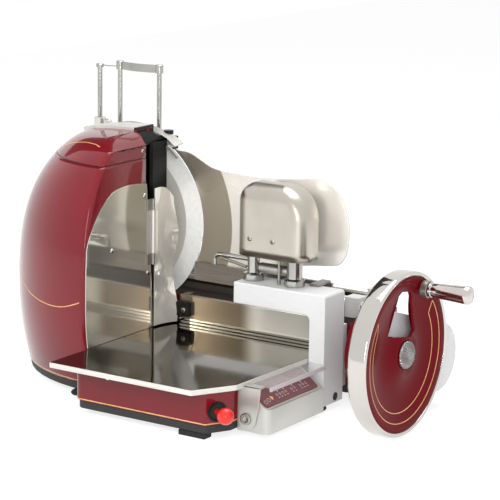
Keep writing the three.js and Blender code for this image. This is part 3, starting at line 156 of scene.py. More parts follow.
# A surface as a grid of points (rows, columns, 3); its first and last rows can be closed by a face.
def addGrid(name, grid, look, body, closeRows=False, closeColumns=False, capped=False, **more):
    grid = np.asarray(grid, float)
    rows, columns = grid.shape[:2]
    faces = gridFaces(rows, columns, closeRows, closeColumns).tolist()
    if capped:
        faces += [list(range(columns)), list(range((rows - 1) * columns, rows * columns))]
    return addMesh(name, grid.reshape(-1, 3), faces, look, body, **more)


# Where X, Y and Z come from, for each axis: 0 and 1 are the flat coordinates, 2 the distance along.
axisOrder = {"x": (2, 0, 1), "y": (0, 2, 1), "z": (0, 1, 2)}


# Points (a, b) in the plane across an axis, at a distance along it, as X, Y, Z.
def across(axis, flat, along):
    flat = np.asarray(flat, float)
    parts = (flat[..., 0], flat[..., 1], np.broadcast_to(along, flat.shape[:-1]))
    return np.stack([parts[k] for k in axisOrder[axis]], -1)


# An outline in the plane across an axis, pushed along it.
def addPrism(name, outline, axis, low, high, look, body, **more):
    rings = np.stack([across(axis, outline, low), across(axis, outline, high)])
    return addGrid(name, rings, look, body, closeColumns=True, capped=True, **more)


# The four corners of a rectangle, anticlockwise.
def rectangle(x0, x1, y0, y1):
    return np.array([(x0, y0), (x1, y0), (x1, y1), (x0, y1)], float)


# An outline's corners (x, y, radius) rounded, each by an arc that touches both of its sides.
def rounded(corners, steps=8):
    corners = [(*c, 0)[:3] for c in corners]
    points = []
    for k, (x, y, radius) in enumerate(corners):
        here = np.array([x, y], float)
        before = np.array(corners[k - 1][:2], float) - here
        after = np.array(corners[(k + 1) % len(corners)][:2], float) - here
        if not radius:
            points.append(here)
            continue
        before, after = before / np.linalg.norm(before), after / np.linalg.norm(after)
        half = math.acos(np.clip(before @ after, -1, 1)) / 2
        reach = radius / math.tan(half)
        middle = here + (before + after) / np.linalg.norm(before + after) * radius / math.sin(half)
        start, end = here + before * reach - middle, here + after * reach - middle
        a0 = math.atan2(start[1], start[0])
        turn = (math.atan2(end[1], end[0]) - a0 + math.pi) % (2 * math.pi) - math.pi
        angles = a0 + turn * np.linspace(0, 1, steps + 1)
        points += list(middle + radius * np.stack([np.cos(angles), np.sin(angles)], 1))
    return np.array(points)


# A rectangle with all its corners rounded alike.
def roundedBox(x, y, corner, steps=8):
    return rounded([(*point, corner) for point in rectangle(*x, *y)], steps)


# A circle of radius 1 as evenly spaced points.
def unitCircle(count):
    turn = np.arange(count) / count * 2 * math.pi
    return np.stack([np.cos(turn), np.sin(turn)], -1)


# A profile of (radius, distance) points turned round an axis through centre.
def addTurned(name, profile, axis, centre, look, body, sides=96, closed=False, **more):
    profile = np.asarray(profile, float)
    flat = profile[:, 0, None, None] * unitCircle(sides)
    grid = across(axis, flat, profile[:, 1, None]) + np.asarray(centre, float)
    return addGrid(name, grid, look, body, closeRows=closed, closeColumns=True, **more)


# A smooth path through points, by Catmull and Rom's cubic.
def smoothPath(points, steps=8):
    p = np.asarray(points, float)
    p = np.concatenate([2 * p[:1] - p[1:2], p, 2 * p[-1:] - p[-2:-1]])
    t = np.linspace(0, 1, steps, endpoint=False)[:, None, None]
    a, b, c, d = p[:-3], p[1:-2], p[2:-1], p[3:]
    curve = 0.5 * (2 * b + (c - a) * t + (2 * a - 5 * b + 4 * c - d) * t ** 2
                   + (3 * b - a - 3 * c + d) * t ** 3)
    return np.concatenate([curve.transpose(1, 0, 2).reshape(-1, p.shape[1]), p[-2:-1]])


# A round tube: at each point of a path that never runs along Y, a circle in the plane across it.
def addTube(name, path, radius, look, body, sides=20):
    path = np.asarray(path, float)
    along = np.gradient(path, axis=0)
    along /= np.linalg.norm(along, axis=1, keepdims=True)
    side = np.cross(along, (0, 1, 0))
    side /= np.linalg.norm(side, axis=1, keepdims=True)
    top = np.cross(side, along)
    circle = unitCircle(sides)
    ring = side[:, None] * circle[None, :, :1] + top[:, None] * circle[None, :, 1:]
    return addGrid(name, path[:, None] + ring * radius, look, body, closeColumns=True, capped=True)


# A CAD node's own form with its seams joined, its flat faces whole and its edges eased.
def addSoftened(node, look, width):
    mesh = nodes[node].data.copy()
    work = bmesh.new()
    work.from_mesh(mesh)
    bmesh.ops.remove_doubles(work, verts=work.verts, dist=merging["solid"])
    bmesh.ops.dissolve_limit(work, angle_limit=math.radians(merging["flatDegrees"]), verts=work.verts,
                             edges=work.edges)
    work.to_mesh(mesh)
    work.free()
    mesh.materials.clear()
    return dress(node + "_form", mesh, look, nodes[node]["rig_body"], replaced=(node,), sharp=30, bevel=width)


# Which points lie inside a loop: an odd number of its sides crosses the line from each to the right.
def within(points, loop):
    x, y = np.asarray(points, float)[:, None, :].transpose(2, 0, 1)
    a = np.asarray([tuple(p) for p in loop], float)
    b = np.roll(a, -1, 0)
    crossing = ((a[:, 1] > y) != (b[:, 1] > y)) & (
        x < (b[:, 0] - a[:, 0]) * (y - a[:, 1]) / (b[:, 1] - a[:, 1] + 1e-12) + a[:, 0])
    return crossing.sum(1) % 2 == 1


# A flat sheet with holes: outlines and inner points joined by Delaunay's triangles.
def flatSheet(outer, holes, inner):
    points = [Vector(p) for p in outer]
    loops = [list(range(len(points)))]
    for hole in holes:
        loops.append(list(range(len(points), len(points) + len(hole))))
        points += [Vector(p) for p in hole]
    points += [Vector(p) for p in inner]
    edges = [(loop[k - 1], loop[k]) for loop in loops for k in range(len(loop))]
    made, _, faces, *_ = delaunay_2d_cdt(points, edges, [], 0, 1e-6)
    made = np.array([tuple(p) for p in made])
    faces = np.array(faces)
    middles = made[faces].mean(1)
    kept = within(middles, outer)
    for hole in holes:
        kept &= ~within(middles, hole)
    return made, faces[kept]


# Materials. Every finish is a node group with these sockets.
finishSockets = (("Tone A", "INPUT", "Color"), ("Tone B", "INPUT", "Color"), ("Scale", "INPUT", "Float"),
                 ("Low", "INPUT", "Float"), ("High", "INPUT", "Float"), ("Color", "OUTPUT", "Color"),
                 ("Roughness", "OUTPUT", "Float"), ("Height", "OUTPUT", "Float"))


# Which part of the noise's range is used, and the depth of a full bump
noiseEnds = {"rough": (0.3, 0.7), "tone": (0.32, 0.68), "whole": (0, 1)}
bumpDepth = 0.2


# What all finishes share: noise moves the roughness between two values and gives a height for a bump,
# and the colour lies between two tones, by a factor that each finish links itself.
def newFinish(name, contrast):
    group = bpy.data.node_groups.new(name, "ShaderNodeTree")
    for label, side, kind in finishSockets:
        group.interface.new_socket(label, in_out=side, socket_type="NodeSocket" + kind)
    made, links = group.nodes, group.links
    given, result = made.new("NodeGroupInput"), made.new("NodeGroupOutput")
    noise, spread, mix = (made.new("ShaderNode" + kind) for kind in ("TexNoise", "MapRange", "Mix"))
    spread.inputs["From Min"].default_value, spread.inputs["From Max"].default_value = contrast
    mix.data_type = "RGBA"
    links.new(given.outputs["Scale"], noise.inputs["Scale"])
    links.new(noise.outputs["Fac"], spread.inputs["Value"])
    links.new(given.outputs["Low"], spread.inputs["To Min"])
    links.new(given.outputs["High"], spread.inputs["To Max"])
    links.new(given.outputs["Tone A"], mix.inputs[6])
    links.new(given.outputs["Tone B"], mix.inputs[7])
    links.new(mix.outputs[2], result.inputs["Color"])
    links.new(spread.outputs["Result"], result.inputs["Roughness"])
    links.new(noise.outputs["Fac"], result.inputs["Height"])
    return group, noise, mix


# Noise stretched in the object's own coordinates, which shades the colour too.
def noiseFinish(name, stretch, detail, distortion):
    group, noise, mix = newFinish(name, noiseEnds["rough"])
    made, links = group.nodes, group.links
    ownPlace, mapping, wide = (made.new("ShaderNode" + kind) for kind in ("TexCoord", "Mapping", "MapRange"))
    mapping.inputs["Scale"].default_value = stretch
    noise.inputs["Detail"].default_value = detail
    noise.inputs["Distortion"].default_value = distortion
    wide.inputs["From Min"].default_value, wide.inputs["From Max"].default_value = noiseEnds["tone"]
    links.new(ownPlace.outputs["Object"], mapping.inputs["Vector"])
    links.new(mapping.outputs["Vector"], noise.inputs["Vector"])
    links.new(noise.outputs["Fac"], wide.inputs["Value"])
    links.new(wide.outputs["Result"], mix.inputs["Factor"])
    return group


# The second tone takes over between two distances: along X, or from a centre in the X and Z plane. The first
# tone, nearer in, serves as a painted reflection.
def paintedReflectionFinish(name, centre, weights, near, far):
    group, noise, mix = newFinish(name, noiseEnds["whole"])
    made, links = group.nodes, group.links
    ownPlace, step = made.new("ShaderNodeTexCoord"), made.new("ShaderNodeMapRange")
    offset, weighed, size = (made.new("ShaderNodeVectorMath") for _ in range(3))
    offset.operation, weighed.operation, size.operation = "SUBTRACT", "MULTIPLY", "LENGTH"
    offset.inputs[1].default_value, weighed.inputs[1].default_value = place(centre).tolist(), weights
    step.interpolation_type = "SMOOTHSTEP"
    step.inputs["From Min"].default_value, step.inputs["From Max"].default_value = near * milli, far * milli
    links.new(ownPlace.outputs["Object"], offset.inputs[0])
    links.new(offset.outputs[0], weighed.inputs[0])
    links.new(weighed.outputs[0], size.inputs[0])
    links.new(size.outputs["Value"], step.inputs["Value"])
    links.new(ownPlace.outputs["Object"], noise.inputs["Vector"])
    links.new(step.outputs["Result"], mix.inputs["Factor"])
    return group


finishes = {
    "polish": noiseFinish("polish", (1, 1, 1), 3, 0.4),
    "brushX": noiseFinish("brushX", (0.03, 1, 1), 5, 0),
    "brushZ": noiseFinish("brushZ", (1, 1, 0.03), 5, 0),
    "grain": noiseFinish("grain", (1, 1, 1), 8, 0),
    # Painted reflections: a darker tone on the front panel's left part, and on the gauge within about 209 mm
    # of the blade's axis
    "panelPaintedReflection": paintedReflectionFinish("panelPaintedReflection", (100, 0, 0), (1, 0, 0), 135, 172),
    "gaugePaintedReflection": paintedReflectionFinish("gaugePaintedReflection", (0, 0, bladeZ), (1, 0, 1), 208.5, 210.5),
}
looks, slots = {}, {}


# A colour of 0 to 255 as the light it stands for.
def linear(colour):
    c = np.asarray(colour, float) / 255
    return (*np.where(c <= 0.04045, c / 12.92, ((c + 0.055) / 1.055) ** 2.4).tolist(), 1)


# A look: its library slot, its finish with two tones, a scale and the least and most roughness,
# then the values that go straight to the shader's own sockets.
def addLook(name, slotName, finish, toneA, toneB, scale, rough, metallic=0, bump=0, **sockets):
    look = bpy.data.materials.new(name)
    look.use_nodes = True
    made, links = look.node_tree.nodes, look.node_tree.links
    shader = made["Principled BSDF"]
    group = made.new("ShaderNodeGroup")
    group.node_tree = finishes[finish]
    group.inputs["Tone A"].default_value = linear(toneA)
    group.inputs["Tone B"].default_value = linear(toneB)
    group.inputs["Scale"].default_value = scale
    group.inputs["Low"].default_value, group.inputs["High"].default_value = rough
    links.new(group.outputs["Color"], shader.inputs["Base Color"])
    links.new(group.outputs["Roughness"], shader.inputs["Roughness"])
    shader.inputs["Metallic"].default_value = metallic
    if bump:
        bumped = made.new("ShaderNodeBump")
        bumped.inputs["Strength"].default_value = bump
        bumped.inputs["Distance"].default_value = bumpDepth * milli
        links.new(group.outputs["Height"], bumped.inputs["Height"])
        links.new(bumped.outputs["Normal"], shader.inputs["Normal"])
    for socket, value in sockets.items():
        shader.inputs[socket.replace("_", " ")].default_value = value
    looks[name] = look
    slots[name] = slotName


# Enamel and gold
addLook("enamel", "body_red", "polish", (104, 11, 22), (114, 13, 26), 6, (0.3, 0.36), bump=0.01,
        Coat_Weight=1.0, Coat_IOR=1.42, Coat_Roughness=0.05, Specular_IOR_Level=0.05)
# The disc's red is the body red made darker, as painted shade against the strong fill lamp on the disc
addLook("enamelDiscPaintedShade", "disc_red", "polish", (92, 9, 17), (99, 11, 20), 9, (0.3, 0.36), bump=0.01,
        Coat_Weight=0.14, Coat_IOR=1.3, Coat_Roughness=0.06, Specular_IOR_Level=0.03)
addLook("goldLine", "body_red", "grain", (226, 172, 120), (206, 148, 92), 60, (0.35, 0.45))

# Black trim and rubber
addLook("trimBlack", "trim_black", "grain", (20, 19, 17), (28, 27, 25), 300, (0.3, 0.4), bump=0.06,
        Specular_IOR_Level=0.2)
# The throat's black lining, made darker than the other black trim: partly black paint, partly painted shade
# of the shadowed throat
addLook("throatBlackAndShade", "trim_black", "grain", (8, 8, 7), (12, 12, 10), 200, (0.35, 0.45), bump=0.03,
        Specular_IOR_Level=0.06)
addLook("lidBlack", "trim_black", "grain", (30, 25, 20), (40, 33, 27), 120, (0.7, 0.8), bump=0.1,
        Specular_IOR_Level=0.1)
addLook("skirt", "skirt_black", "grain", (46, 46, 44), (54, 53, 51), 240, (0.5, 0.6), bump=0.08,
        Specular_IOR_Level=0.3)
addLook("rubber", "foot_rubber", "grain", (26, 26, 28), (34, 34, 35), 400, (0.7, 0.85), bump=0.2)

# Polished sheets: the front panel's left part and the gauge plate beside the blade take darker tones, a
# painted reflection.
addLook("mirror", "mirror_steel", "polish", (214, 209, 198), (200, 193, 180), 5, (0.08, 0.16), 1, bump=0.01)
addLook("mirrorPlate", "mirror_steel", "polish", (200, 197, 187), (176, 171, 158), 4, (0.05, 0.1), 0.82,
        bump=0.01)
# The tray's mirror top is far darker than polished steel: a painted reflection of the dark things it mirrors
addLook("mirrorTray", "mirror_steel", "polish", (122, 118, 108), (92, 88, 79), 3.2, (0.05, 0.11), 1,
        bump=0.01)
addLook("mirrorCover", "mirror_steel", "polish", (206, 201, 191), (190, 184, 173), 9, (0.24, 0.34), 1,
        bump=0.008)
addLook("mirrorPanel", "mirror_steel", "panelPaintedReflection", (136, 122, 104), (250, 246, 236), 5, (0.1, 0.18), 0.72,
        bump=0.005)
addLook("gaugeSheet", "mirror_steel", "gaugePaintedReflection", (156, 148, 134), (240, 236, 230), 4, (0.24, 0.32), 0.6,
        bump=0.004)
addLook("gaugeBack", "mirror_steel", "polish", (216, 212, 204), (202, 197, 188), 5, (0.2, 0.3), 0.8,
        bump=0.006)
addLook("bladeFace", "mirror_steel", "polish", (226, 223, 216), (212, 208, 199), 6, (0.24, 0.34), 0.2,
        bump=0.01)
addLook("ground", "mirror_steel", "grain", (246, 246, 243), (238, 237, 234), 140, (0.3, 0.4), 0.25, bump=0.02)
addLook("deflectorSteel", "mirror_steel", "polish", (238, 235, 227), (226, 222, 213), 6, (0.05, 0.1), 0.55,
        bump=0.01)

# Brushed and cast metal
addLook("plateSteel", "brushed_steel", "brushX", (216, 214, 208), (202, 200, 194), 500, (0.34, 0.44), 0.35,
        bump=0.01)
addLook("bandSteel", "brushed_steel", "polish", (186, 184, 178), (172, 169, 163), 14, (0.3, 0.4), 0.5,
        bump=0.01)
addLook("brushed", "brushed_steel", "brushX", (204, 201, 195), (186, 183, 177), 900, (0.28, 0.4), 0.85,
        bump=0.015)
addLook("steel", "machined_steel", "brushZ", (182, 179, 173), (156, 152, 146), 900, (0.26, 0.4), 1, bump=0.02)
addLook("taupe", "machined_steel", "brushX", (150, 143, 137), (136, 128, 121), 700, (0.3, 0.4), 0.8,
        bump=0.01)
addLook("satin", "satin_aluminium", "brushX", (219, 220, 220), (208, 209, 209), 1400, (0.5, 0.62), 0.05,
        bump=0.012, Specular_IOR_Level=0.3)
addLook("consoleMetal", "satin_aluminium", "polish", (206, 206, 201), (190, 190, 184), 7, (0.26, 0.36), 0.7,
        bump=0.01)

# Chrome
# The posts' chrome is darkened to grey to stand for the darker surroundings it mirrors: painted reflection
addLook("postSteel", "bright_chrome", "polish", (184, 183, 179), (166, 165, 160), 24, (0.16, 0.24), 1)
addLook("capSteel", "bright_chrome", "grain", (150, 147, 146), (118, 114, 112), 90, (0.2, 0.3), 0.9,
        bump=0.02)
addLook("chrome", "bright_chrome", "polish", (214, 211, 206), (198, 194, 188), 8, (0.05, 0.1), 1)
addLook("gripChrome", "bright_chrome", "polish", (226, 219, 215), (206, 197, 193), 16, (0.08, 0.15), 1)

# Label, clear cover and knob
addLook("labelRed", "label_film", "grain", (86, 18, 30), (96, 22, 34), 120, (0.3, 0.4), Coat_Weight=0.4)
addLook("labelMark", "label_film", "grain", (206, 196, 186), (190, 180, 170), 120, (0.4, 0.5))
addLook("clear", "clear_cover", "polish", (222, 222, 222), (232, 232, 232), 6, (0.04, 0.07), Coat_Weight=0.6,
        Alpha=0.16)
addLook("clearEdge", "clear_cover", "polish", (222, 214, 218), (212, 204, 208), 8, (0.2, 0.3), Alpha=0.6)
addLook("ball", "knob_red", "polish", (208, 36, 30), (198, 30, 26), 12, (0.3, 0.36), bump=0.01,
        Coat_Weight=0.7, Coat_Roughness=0.06, Specular_IOR_Level=0.2)
print("materials made")

# Tower: every level is a quarter of an ellipse from the flat right wall to the rear left corner.
# Above the waist the widths close by a power curve; a slow curve presses the crown into a low dome,
# and the dome falls towards the right wall.
tower = {"wall": 101, "rear": -12, "depth": 238, "width": 260, "waist": 150, "base": 22, "crown": 425,
         "widthPower": 2.4, "depthPower": 2.9, "footWidthShare": 0.08, "footDepthShare": 0.107, "corner": 9,
         "wallRear": -90, "throat": 86, "press": 380, "dome": 20, "pressReach": 22, "fall": 16,
         "fallStart": 56, "fallReach": 45, "least": 0.01, "wallColumns": 10, "cornerColumns": 13,
         "arcColumns": 73, "inside": (60, -60, 150)}


# The shares of the full width and depth at a height: a parabola below the waist, a power curve above.
def towerShares(z):
    t = tower
    drop = (np.clip(t["waist"] - z, 0, None) / t["waist"]) ** 2
    rise = np.clip((z - t["waist"]) / (t["crown"] - t["waist"]), 0, 1)
    width, depth = (np.where(z < t["waist"], 1 - t[foot] * drop, (1 - rise ** t[power]) ** (1 / t[power]))
                    for foot, power in (("footWidthShare", "widthPower"), ("footDepthShare", "depthPower")))
    return width, depth


# The pressed height: above the press line it nears the dome's top as a hyperbolic tangent, less a fall
# to the right that grows with the square of X.
def towerHeight(x, z):
    t = tower
    low = np.minimum(z, t["press"])
    high = low + t["dome"] * np.tanh((z - low) / t["pressReach"])
    wallTop = t["press"] + t["dome"] - t["fall"]
    share = np.clip((high - wallTop) / t["fall"], 0, 1)
    return high - t["fall"] * np.clip((x - t["fallStart"]) / t["fallReach"], 0, 1) ** 2 * share


# A point of the round skin: turn from 0 at the front to 90 degrees at the left rear.
def towerSkin(turn, z):
    t = tower
    width, depth = towerShares(z)
    x = t["wall"] - t["width"] * width * np.sin(turn)
    y = t["rear"] - t["depth"] * depth * np.cos(turn)
    return np.stack([x, y, towerHeight(x, z)], -1)


# Where the skin ends at its right rear, as (Y, X). Over the seam the crown ends along the top plate.
wallSide = [(tower["wallRear"], tower["wall"]), (tower["rear"], tower["throat"])]
crownSide = [(tower["wallRear"], tower["wall"]), (-66, 60), (tower["rear"], 58)]


# The skin's grid: along the flat wall to the front, round the small corner, then along the ellipse.
def towerGrid(heights, side=wallSide):
    t = tower
    z = np.asarray(heights, float)[:, None]
    width, depth = towerShares(z)
    reach = np.minimum(t["corner"], t["width"] * width / 2 + t["least"])
    front = t["rear"] - t["depth"] * depth
    down = np.linspace(0, 1, t["wallColumns"])
    flatY = t["wallRear"] + (np.minimum(front + reach, t["wallRear"]) - t["wallRear"]) * down
    turn = np.linspace(0, math.pi / 2, t["cornerColumns"])[1:]
    start = np.arcsin(np.clip(reach / (t["width"] * width + t["least"]), 0, 1))
    sweep = start + np.linspace(0, 1, t["arcColumns"])[1:] * (math.pi / 2 - start)
    x = np.concatenate([np.full_like(flatY, t["wall"]), t["wall"] - reach * (1 - np.cos(turn)),
                        t["wall"] - t["width"] * width * np.sin(sweep)], 1)
    y = np.concatenate([flatY, front + reach * (1 - np.sin(turn)),
                        t["rear"] - t["depth"] * depth * np.cos(sweep)], 1)
    sideY, sideX = np.array(side, float).T
    x = np.minimum(x, np.interp(y, sideY, sideX))
    return np.stack([x, y, towerHeight(x, np.broadcast_to(z, x.shape))], -1)


# The black lid keeps under the guard's band: the limit falls to the right and rises to the front.
bandLimit = {"x": (20, 46, 72, 88, 96), "z": (400, 393, 386.5, 380, 371.8), "leanShare": 0.73,
             "riseShare": 0.2, "coverDrop": 1}


def underBand(points):
    ahead = tower["rear"] - points[..., 1]
    limit = np.interp(points[..., 0] - bandLimit["leanShare"] * ahead, bandLimit["x"], bandLimit["z"])
    return limit + bandLimit["riseShare"] * ahead


# The skin's two shells, with the seam's black band set in between them
skin = {"seam": 364, "seamGap": 1.4, "lowRows": 90, "highRows": 70, "crownOpening": 0.02, "bandLow": 3,
        "bandHigh": 2, "bandRows": 4, "bandMiddle": (0, -60), "bandShare": 0.985}
lowRows = np.linspace(tower["base"], skin["seam"] - skin["seamGap"], skin["lowRows"])
addGrid("tower_skin", towerGrid(lowRows), "enamel", "frame", replaced=("tower_shell",), sharp=60, thick=2.5)
highRows = tower["crown"] - (tower["crown"] - skin["seam"]) * (1 - np.linspace(0, 1, skin["highRows"])) ** 2
highRows[-1] -= skin["crownOpening"]
addGrid("tower_crown", towerGrid(highRows, crownSide), "enamel", "frame", replaced=("tower_cap",), sharp=60,
        thick=2)
lid = {"z": 374, "inset": 0.5, "drop": 0.6}
lidGrid = towerGrid(highRows[highRows > lid["z"]])
lidGrid[..., 0] = np.minimum(lidGrid[..., 0], tower["wall"] - lid["inset"])
lidGrid[..., 2] = np.minimum(lidGrid[..., 2] - lid["drop"], underBand(lidGrid))
# The lid takes the throat's darkened black, partly painted shade
addGrid("tower_lid", lidGrid, "throatBlackAndShade", "frame", sharp=60, thick=2)
crownEdge = {"outline": [(61.4, -63), (59.6, -12.4), (56.5, -12.4), (57.5, -63)], "axis": "z", "low": 384,
             "high": 403.6}
addPrism("crown_edge", look="trimBlack", body="frame", bevel=0.4, **crownEdge)
bandRows = np.linspace(skin["seam"] - skin["bandLow"], skin["seam"] + skin["bandHigh"], skin["bandRows"])
seamBand = towerGrid(bandRows)
bandMiddle = np.array(skin["bandMiddle"], float)
seamBand[..., :2] = bandMiddle + (seamBand[..., :2] - bandMiddle) * skin["bandShare"]
addGrid("tower_seam", seamBand, "trimBlack", "frame", sharp=60, thick=1)

# Gold lines lie on the round skin along (turn in degrees, height) points.
gold = {"lift": 0.12, "discLift": 0.25, "thick": 0.3, "pathSteps": 6, "turnStep": 0.01, "heightStep": 0.5,
        "capWidth": 1.5, "swoopWidth": 1.6, "footWidth": 1.8}
capPath = [(58, 365), (53, 371.5), (46.5, 378.7), (40.2, 384), (34, 388), (28.8, 390.7), (23.4, 392),
           (16.7, 392), (11.5, 390)]
swoopPath = [(88, 212), (75, 207), (62, 195), (52, 180), (45, 167.5), (40, 159), (36, 153.6), (31.7, 148),
             (27.2, 144.6), (23.5, 142.6), (19.4, 141.4), (15.8, 141.2), (12.5, 142.3), (9.3, 144.9),
             (6.4, 149), (3.6, 153.6), (2.2, 156.4)]
footLine = {"from": 89, "to": 2.2, "z": 24.6, "steps": 90}


# A strip on both sides of the path, lifted off the skin along its normal.
def skinLine(name, path, width):
    turn, z = np.asarray(path, float).T
    turn = np.radians(turn)
    middle = towerSkin(turn, z)
    along = np.gradient(middle, axis=0)
    normal = np.cross(towerSkin(turn + gold["turnStep"], z) - middle,
                      towerSkin(turn, z + gold["heightStep"]) - middle)
    normal /= np.linalg.norm(normal, axis=1, keepdims=True)
    normal *= np.sign(((middle - np.array(tower["inside"])) * normal).sum(1, keepdims=True))
    side = np.cross(normal, along)
    side *= width / 2 / np.linalg.norm(side, axis=1, keepdims=True)
    rows = np.stack([middle - side, middle + side], 1) + normal[:, None] * gold["lift"]
    addGrid(name, rows, "goldLine", "frame", thick=gold["thick"])


skinLine("line_cap", smoothPath(capPath, gold["pathSteps"]), gold["capWidth"])
skinLine("line_swoop", smoothPath(swoopPath, gold["pathSteps"]), gold["swoopWidth"])
footTurns = np.linspace(footLine["from"], footLine["to"], footLine["steps"])
footPath = np.column_stack([footTurns, np.full_like(footTurns, footLine["z"])])
skinLine("line_foot", footPath, gold["footWidth"])
print("tower made")

# Arched plate over the tower's rear: its height falls from the crest as a parabola.
topPlate = {"plan": [(-78, -12, 3), (-75, -25, 6), (-20, -62, 8), (57, -62, 4), (58, -12, 3)], "crest": 35,
            "height": 404.5, "radius": 350, "columns": 30, "innerRows": (-40, -26), "cutX": -60, "cutY": -30}
planX = np.linspace(topPlate["plan"][0][0], topPlate["plan"][-1][0], topPlate["columns"])
inner = [(x, y) for x in planX[1:-1] for y in topPlate["innerRows"]
         if x > topPlate["cutX"] or y > topPlate["cutY"]]
sheet, sheetFaces = flatSheet(rounded(topPlate["plan"], steps=6), [], inner)
archZ = topPlate["height"] - (sheet[:, 0] - topPlate["crest"]) ** 2 / (2 * topPlate["radius"])
addMesh("top_arch", np.column_stack([sheet, archZ]), sheetFaces, "plateSteel", "frame", thick=7, bevel=0.8,
        replaced=("top_plate",))

# Wall plate: its front edge keeps to the tower's corner up to a dome that ends on the wall's rear edge.
wallPlate = {"x0": 101.3, "x1": 103.3, "foot": 83.7, "inset": 1.5, "shoulder": 232, "edgeRows": 20,
             "dome": [(-246.5, 238), (-240.5, 254), (-225.5, 280), (-203.5, 304), (-179, 321), (-148, 326.5),
                      (-116, 325), (-90, 322)],
             "rearFoot": -70}
plateHeights = np.linspace(wallPlate["foot"], wallPlate["shoulder"], wallPlate["edgeRows"])
plateEdge = tower["rear"] - tower["depth"] * towerShares(plateHeights)[1] + wallPlate["inset"]
plateOutline = np.concatenate([[(wallPlate["rearFoot"], wallPlate["foot"])],
                               np.column_stack([plateEdge, plateHeights]),
                               smoothPath(wallPlate["dome"], steps=6)])
addPrism("wall_mirror", plateOutline, "x", wallPlate["x0"], wallPlate["x1"], "mirrorPlate", "frame",
         replaced=("wall_plate",), bevel=0.4, sharp=25)

# Domed screw heads with a cross cut: shares of the radius and of the head's height.
screwHead = {"domeShares": [(0, 1), (0.35, 0.96), (0.7, 0.75), (0.93, 0.4), (1, 0.02)], "heightShare": 0.5,
             "sunk": 0.4, "cutShares": (0.62, 0.1), "cutHeightShares": (0.8, 1.02), "sides": 28}


# The head faces along an axis, forwards or backwards (sign +1 or -1).
def addScrew(name, centre, axis, sign, radius, look="chrome", body="frame"):
    depth = radius * screwHead["heightShare"]
    profile = [(radius * r, sign * depth * high) for r, high in screwHead["domeShares"]]
    profile += [(radius, -sign * screwHead["sunk"]), (0, -sign * screwHead["sunk"])]
    addTurned(name, profile, axis, centre, look, body, sides=screwHead["sides"], bevel=0.12)
    long, narrow = (radius * share for share in screwHead["cutShares"])
    for k, (a, b) in enumerate(((long, narrow), (narrow, long))):
        ends = [across(axis, rectangle(-a, a, -b, b), sign * depth * share) + np.asarray(centre, float)
                for share in screwHead["cutHeightShares"]]
        addGrid(f"{name}_cut{k}", ends, "trimBlack", body, closeColumns=True, capped=True)


wallScrews = {"radius": 4.2, "places": [(-96, 303), (-182, 228), (-87, 176)], "topRadius": 3.6,
              "topPlace": (101, -99, 375)}
for k, (y, z) in enumerate(wallScrews["places"]):
    addScrew(f"wall_screw{k}", (wallPlate["x1"], y, z), "x", 1, wallScrews["radius"])
addScrew("wall_screw3", wallScrews["topPlace"], "x", 1, wallScrews["topRadius"])
print("plates made")

# Blade: flat face, hollow bevel to the edge, and the boss with its bolts
blade = {"radius": 150, "bevel": 28, "edge": 1, "thickness": 7, "hollowShare": 0.25, "sides": 240,
         "boss": [(0, -7.3), (62, -7.3), (60.5, -8.8), (56, -10.6), (48, -11.3), (14, -11.3), (12, -10.4),
                  (0, -10.4)],
         "bevelRows": 8, "bolts": 4, "boltCircle": 44, "boltRadius": 5.5, "boltY": -11.3}
bladeAxis = (0, 0, bladeZ)
flatRadius = blade["radius"] - blade["bevel"]
bladeFace = [(0, -blade["thickness"]), (flatRadius, -blade["thickness"]), (flatRadius, 0), (0, 0)]
hollow = [(flatRadius + blade["bevel"] * s, -blade["thickness"] + (blade["thickness"] - blade["edge"])
           * (s + blade["hollowShare"] * s * (1 - s))) for s in np.linspace(0, 1, blade["bevelRows"])]
addTurned("blade_disc", bladeFace, "y", bladeAxis, "bladeFace", "blade_set", sides=blade["sides"],
          replaced=("blade",), sharp=12)
addTurned("blade_bevel", [(flatRadius, 0), *hollow, (blade["radius"], 0)], "y", bladeAxis, "ground",
          "blade_set", sides=blade["sides"], closed=True, sharp=25)
addTurned("blade_boss", blade["boss"], "y", bladeAxis, "steel", "blade_set", sides=128, sharp=30)
for k in range(blade["bolts"]):
    angle = 2 * math.pi * (k + 0.5) / blade["bolts"]
    x, z = blade["boltCircle"] * math.cos(angle), bladeZ + blade["boltCircle"] * math.sin(angle)
    addScrew(f"blade_bolt{k}", (x, blade["boltY"], z), "y", -1, blade["boltRadius"], "steel", "blade_set")
print("blade made")

# Gauge plate: a polished sheet that follows the blade's edge, with a saddle in its top
gauge = {"y0": -4, "y1": 0, "reach": 153.5, "topX": 94, "footZ": 176, "arcSteps": 40,
         "top": [(427, 268), (425.5, 282), (421, 299), (410, 323), (392, 340), (373, 346), (350, 344.5),
                 (320, 341), (290, 338), (260, 336), (223, 337), (190, 338.5), (168, 343), (150, 351),
                 (135, 358.5), (120, 362.5), (100, 363.5)],
         "foot": [(262, 188), (310, 199), (360, 207.5), (395, 211.5), (411, 216), (422, 232), (426, 250),
                  (427, 268)]}
bladeArc = np.linspace(math.acos(gauge["topX"] / gauge["reach"]),
                       math.asin((gauge["footZ"] - bladeZ) / gauge["reach"]), gauge["arcSteps"])
bladeSide = np.column_stack([np.cos(bladeArc), np.sin(bladeArc)]) * gauge["reach"] + (0, bladeZ)
gaugeEdge = np.concatenate([bladeSide, smoothPath(gauge["foot"], steps=6),
                            smoothPath(gauge["top"], steps=6)[1:-1]])
gaugeMiddle = (gauge["y0"] + gauge["y1"]) / 2
addPrism("gauge_sheet", gaugeEdge, "y", gauge["y0"], gaugeMiddle, "gaugeSheet", "gauge", bevel=0.6, sharp=25,
         replaced=("gauge_plate",))
addPrism("gauge_back", gaugeEdge, "y", gaugeMiddle, gauge["y1"], "gaugeBack", "gauge", bevel=0.6, sharp=25)
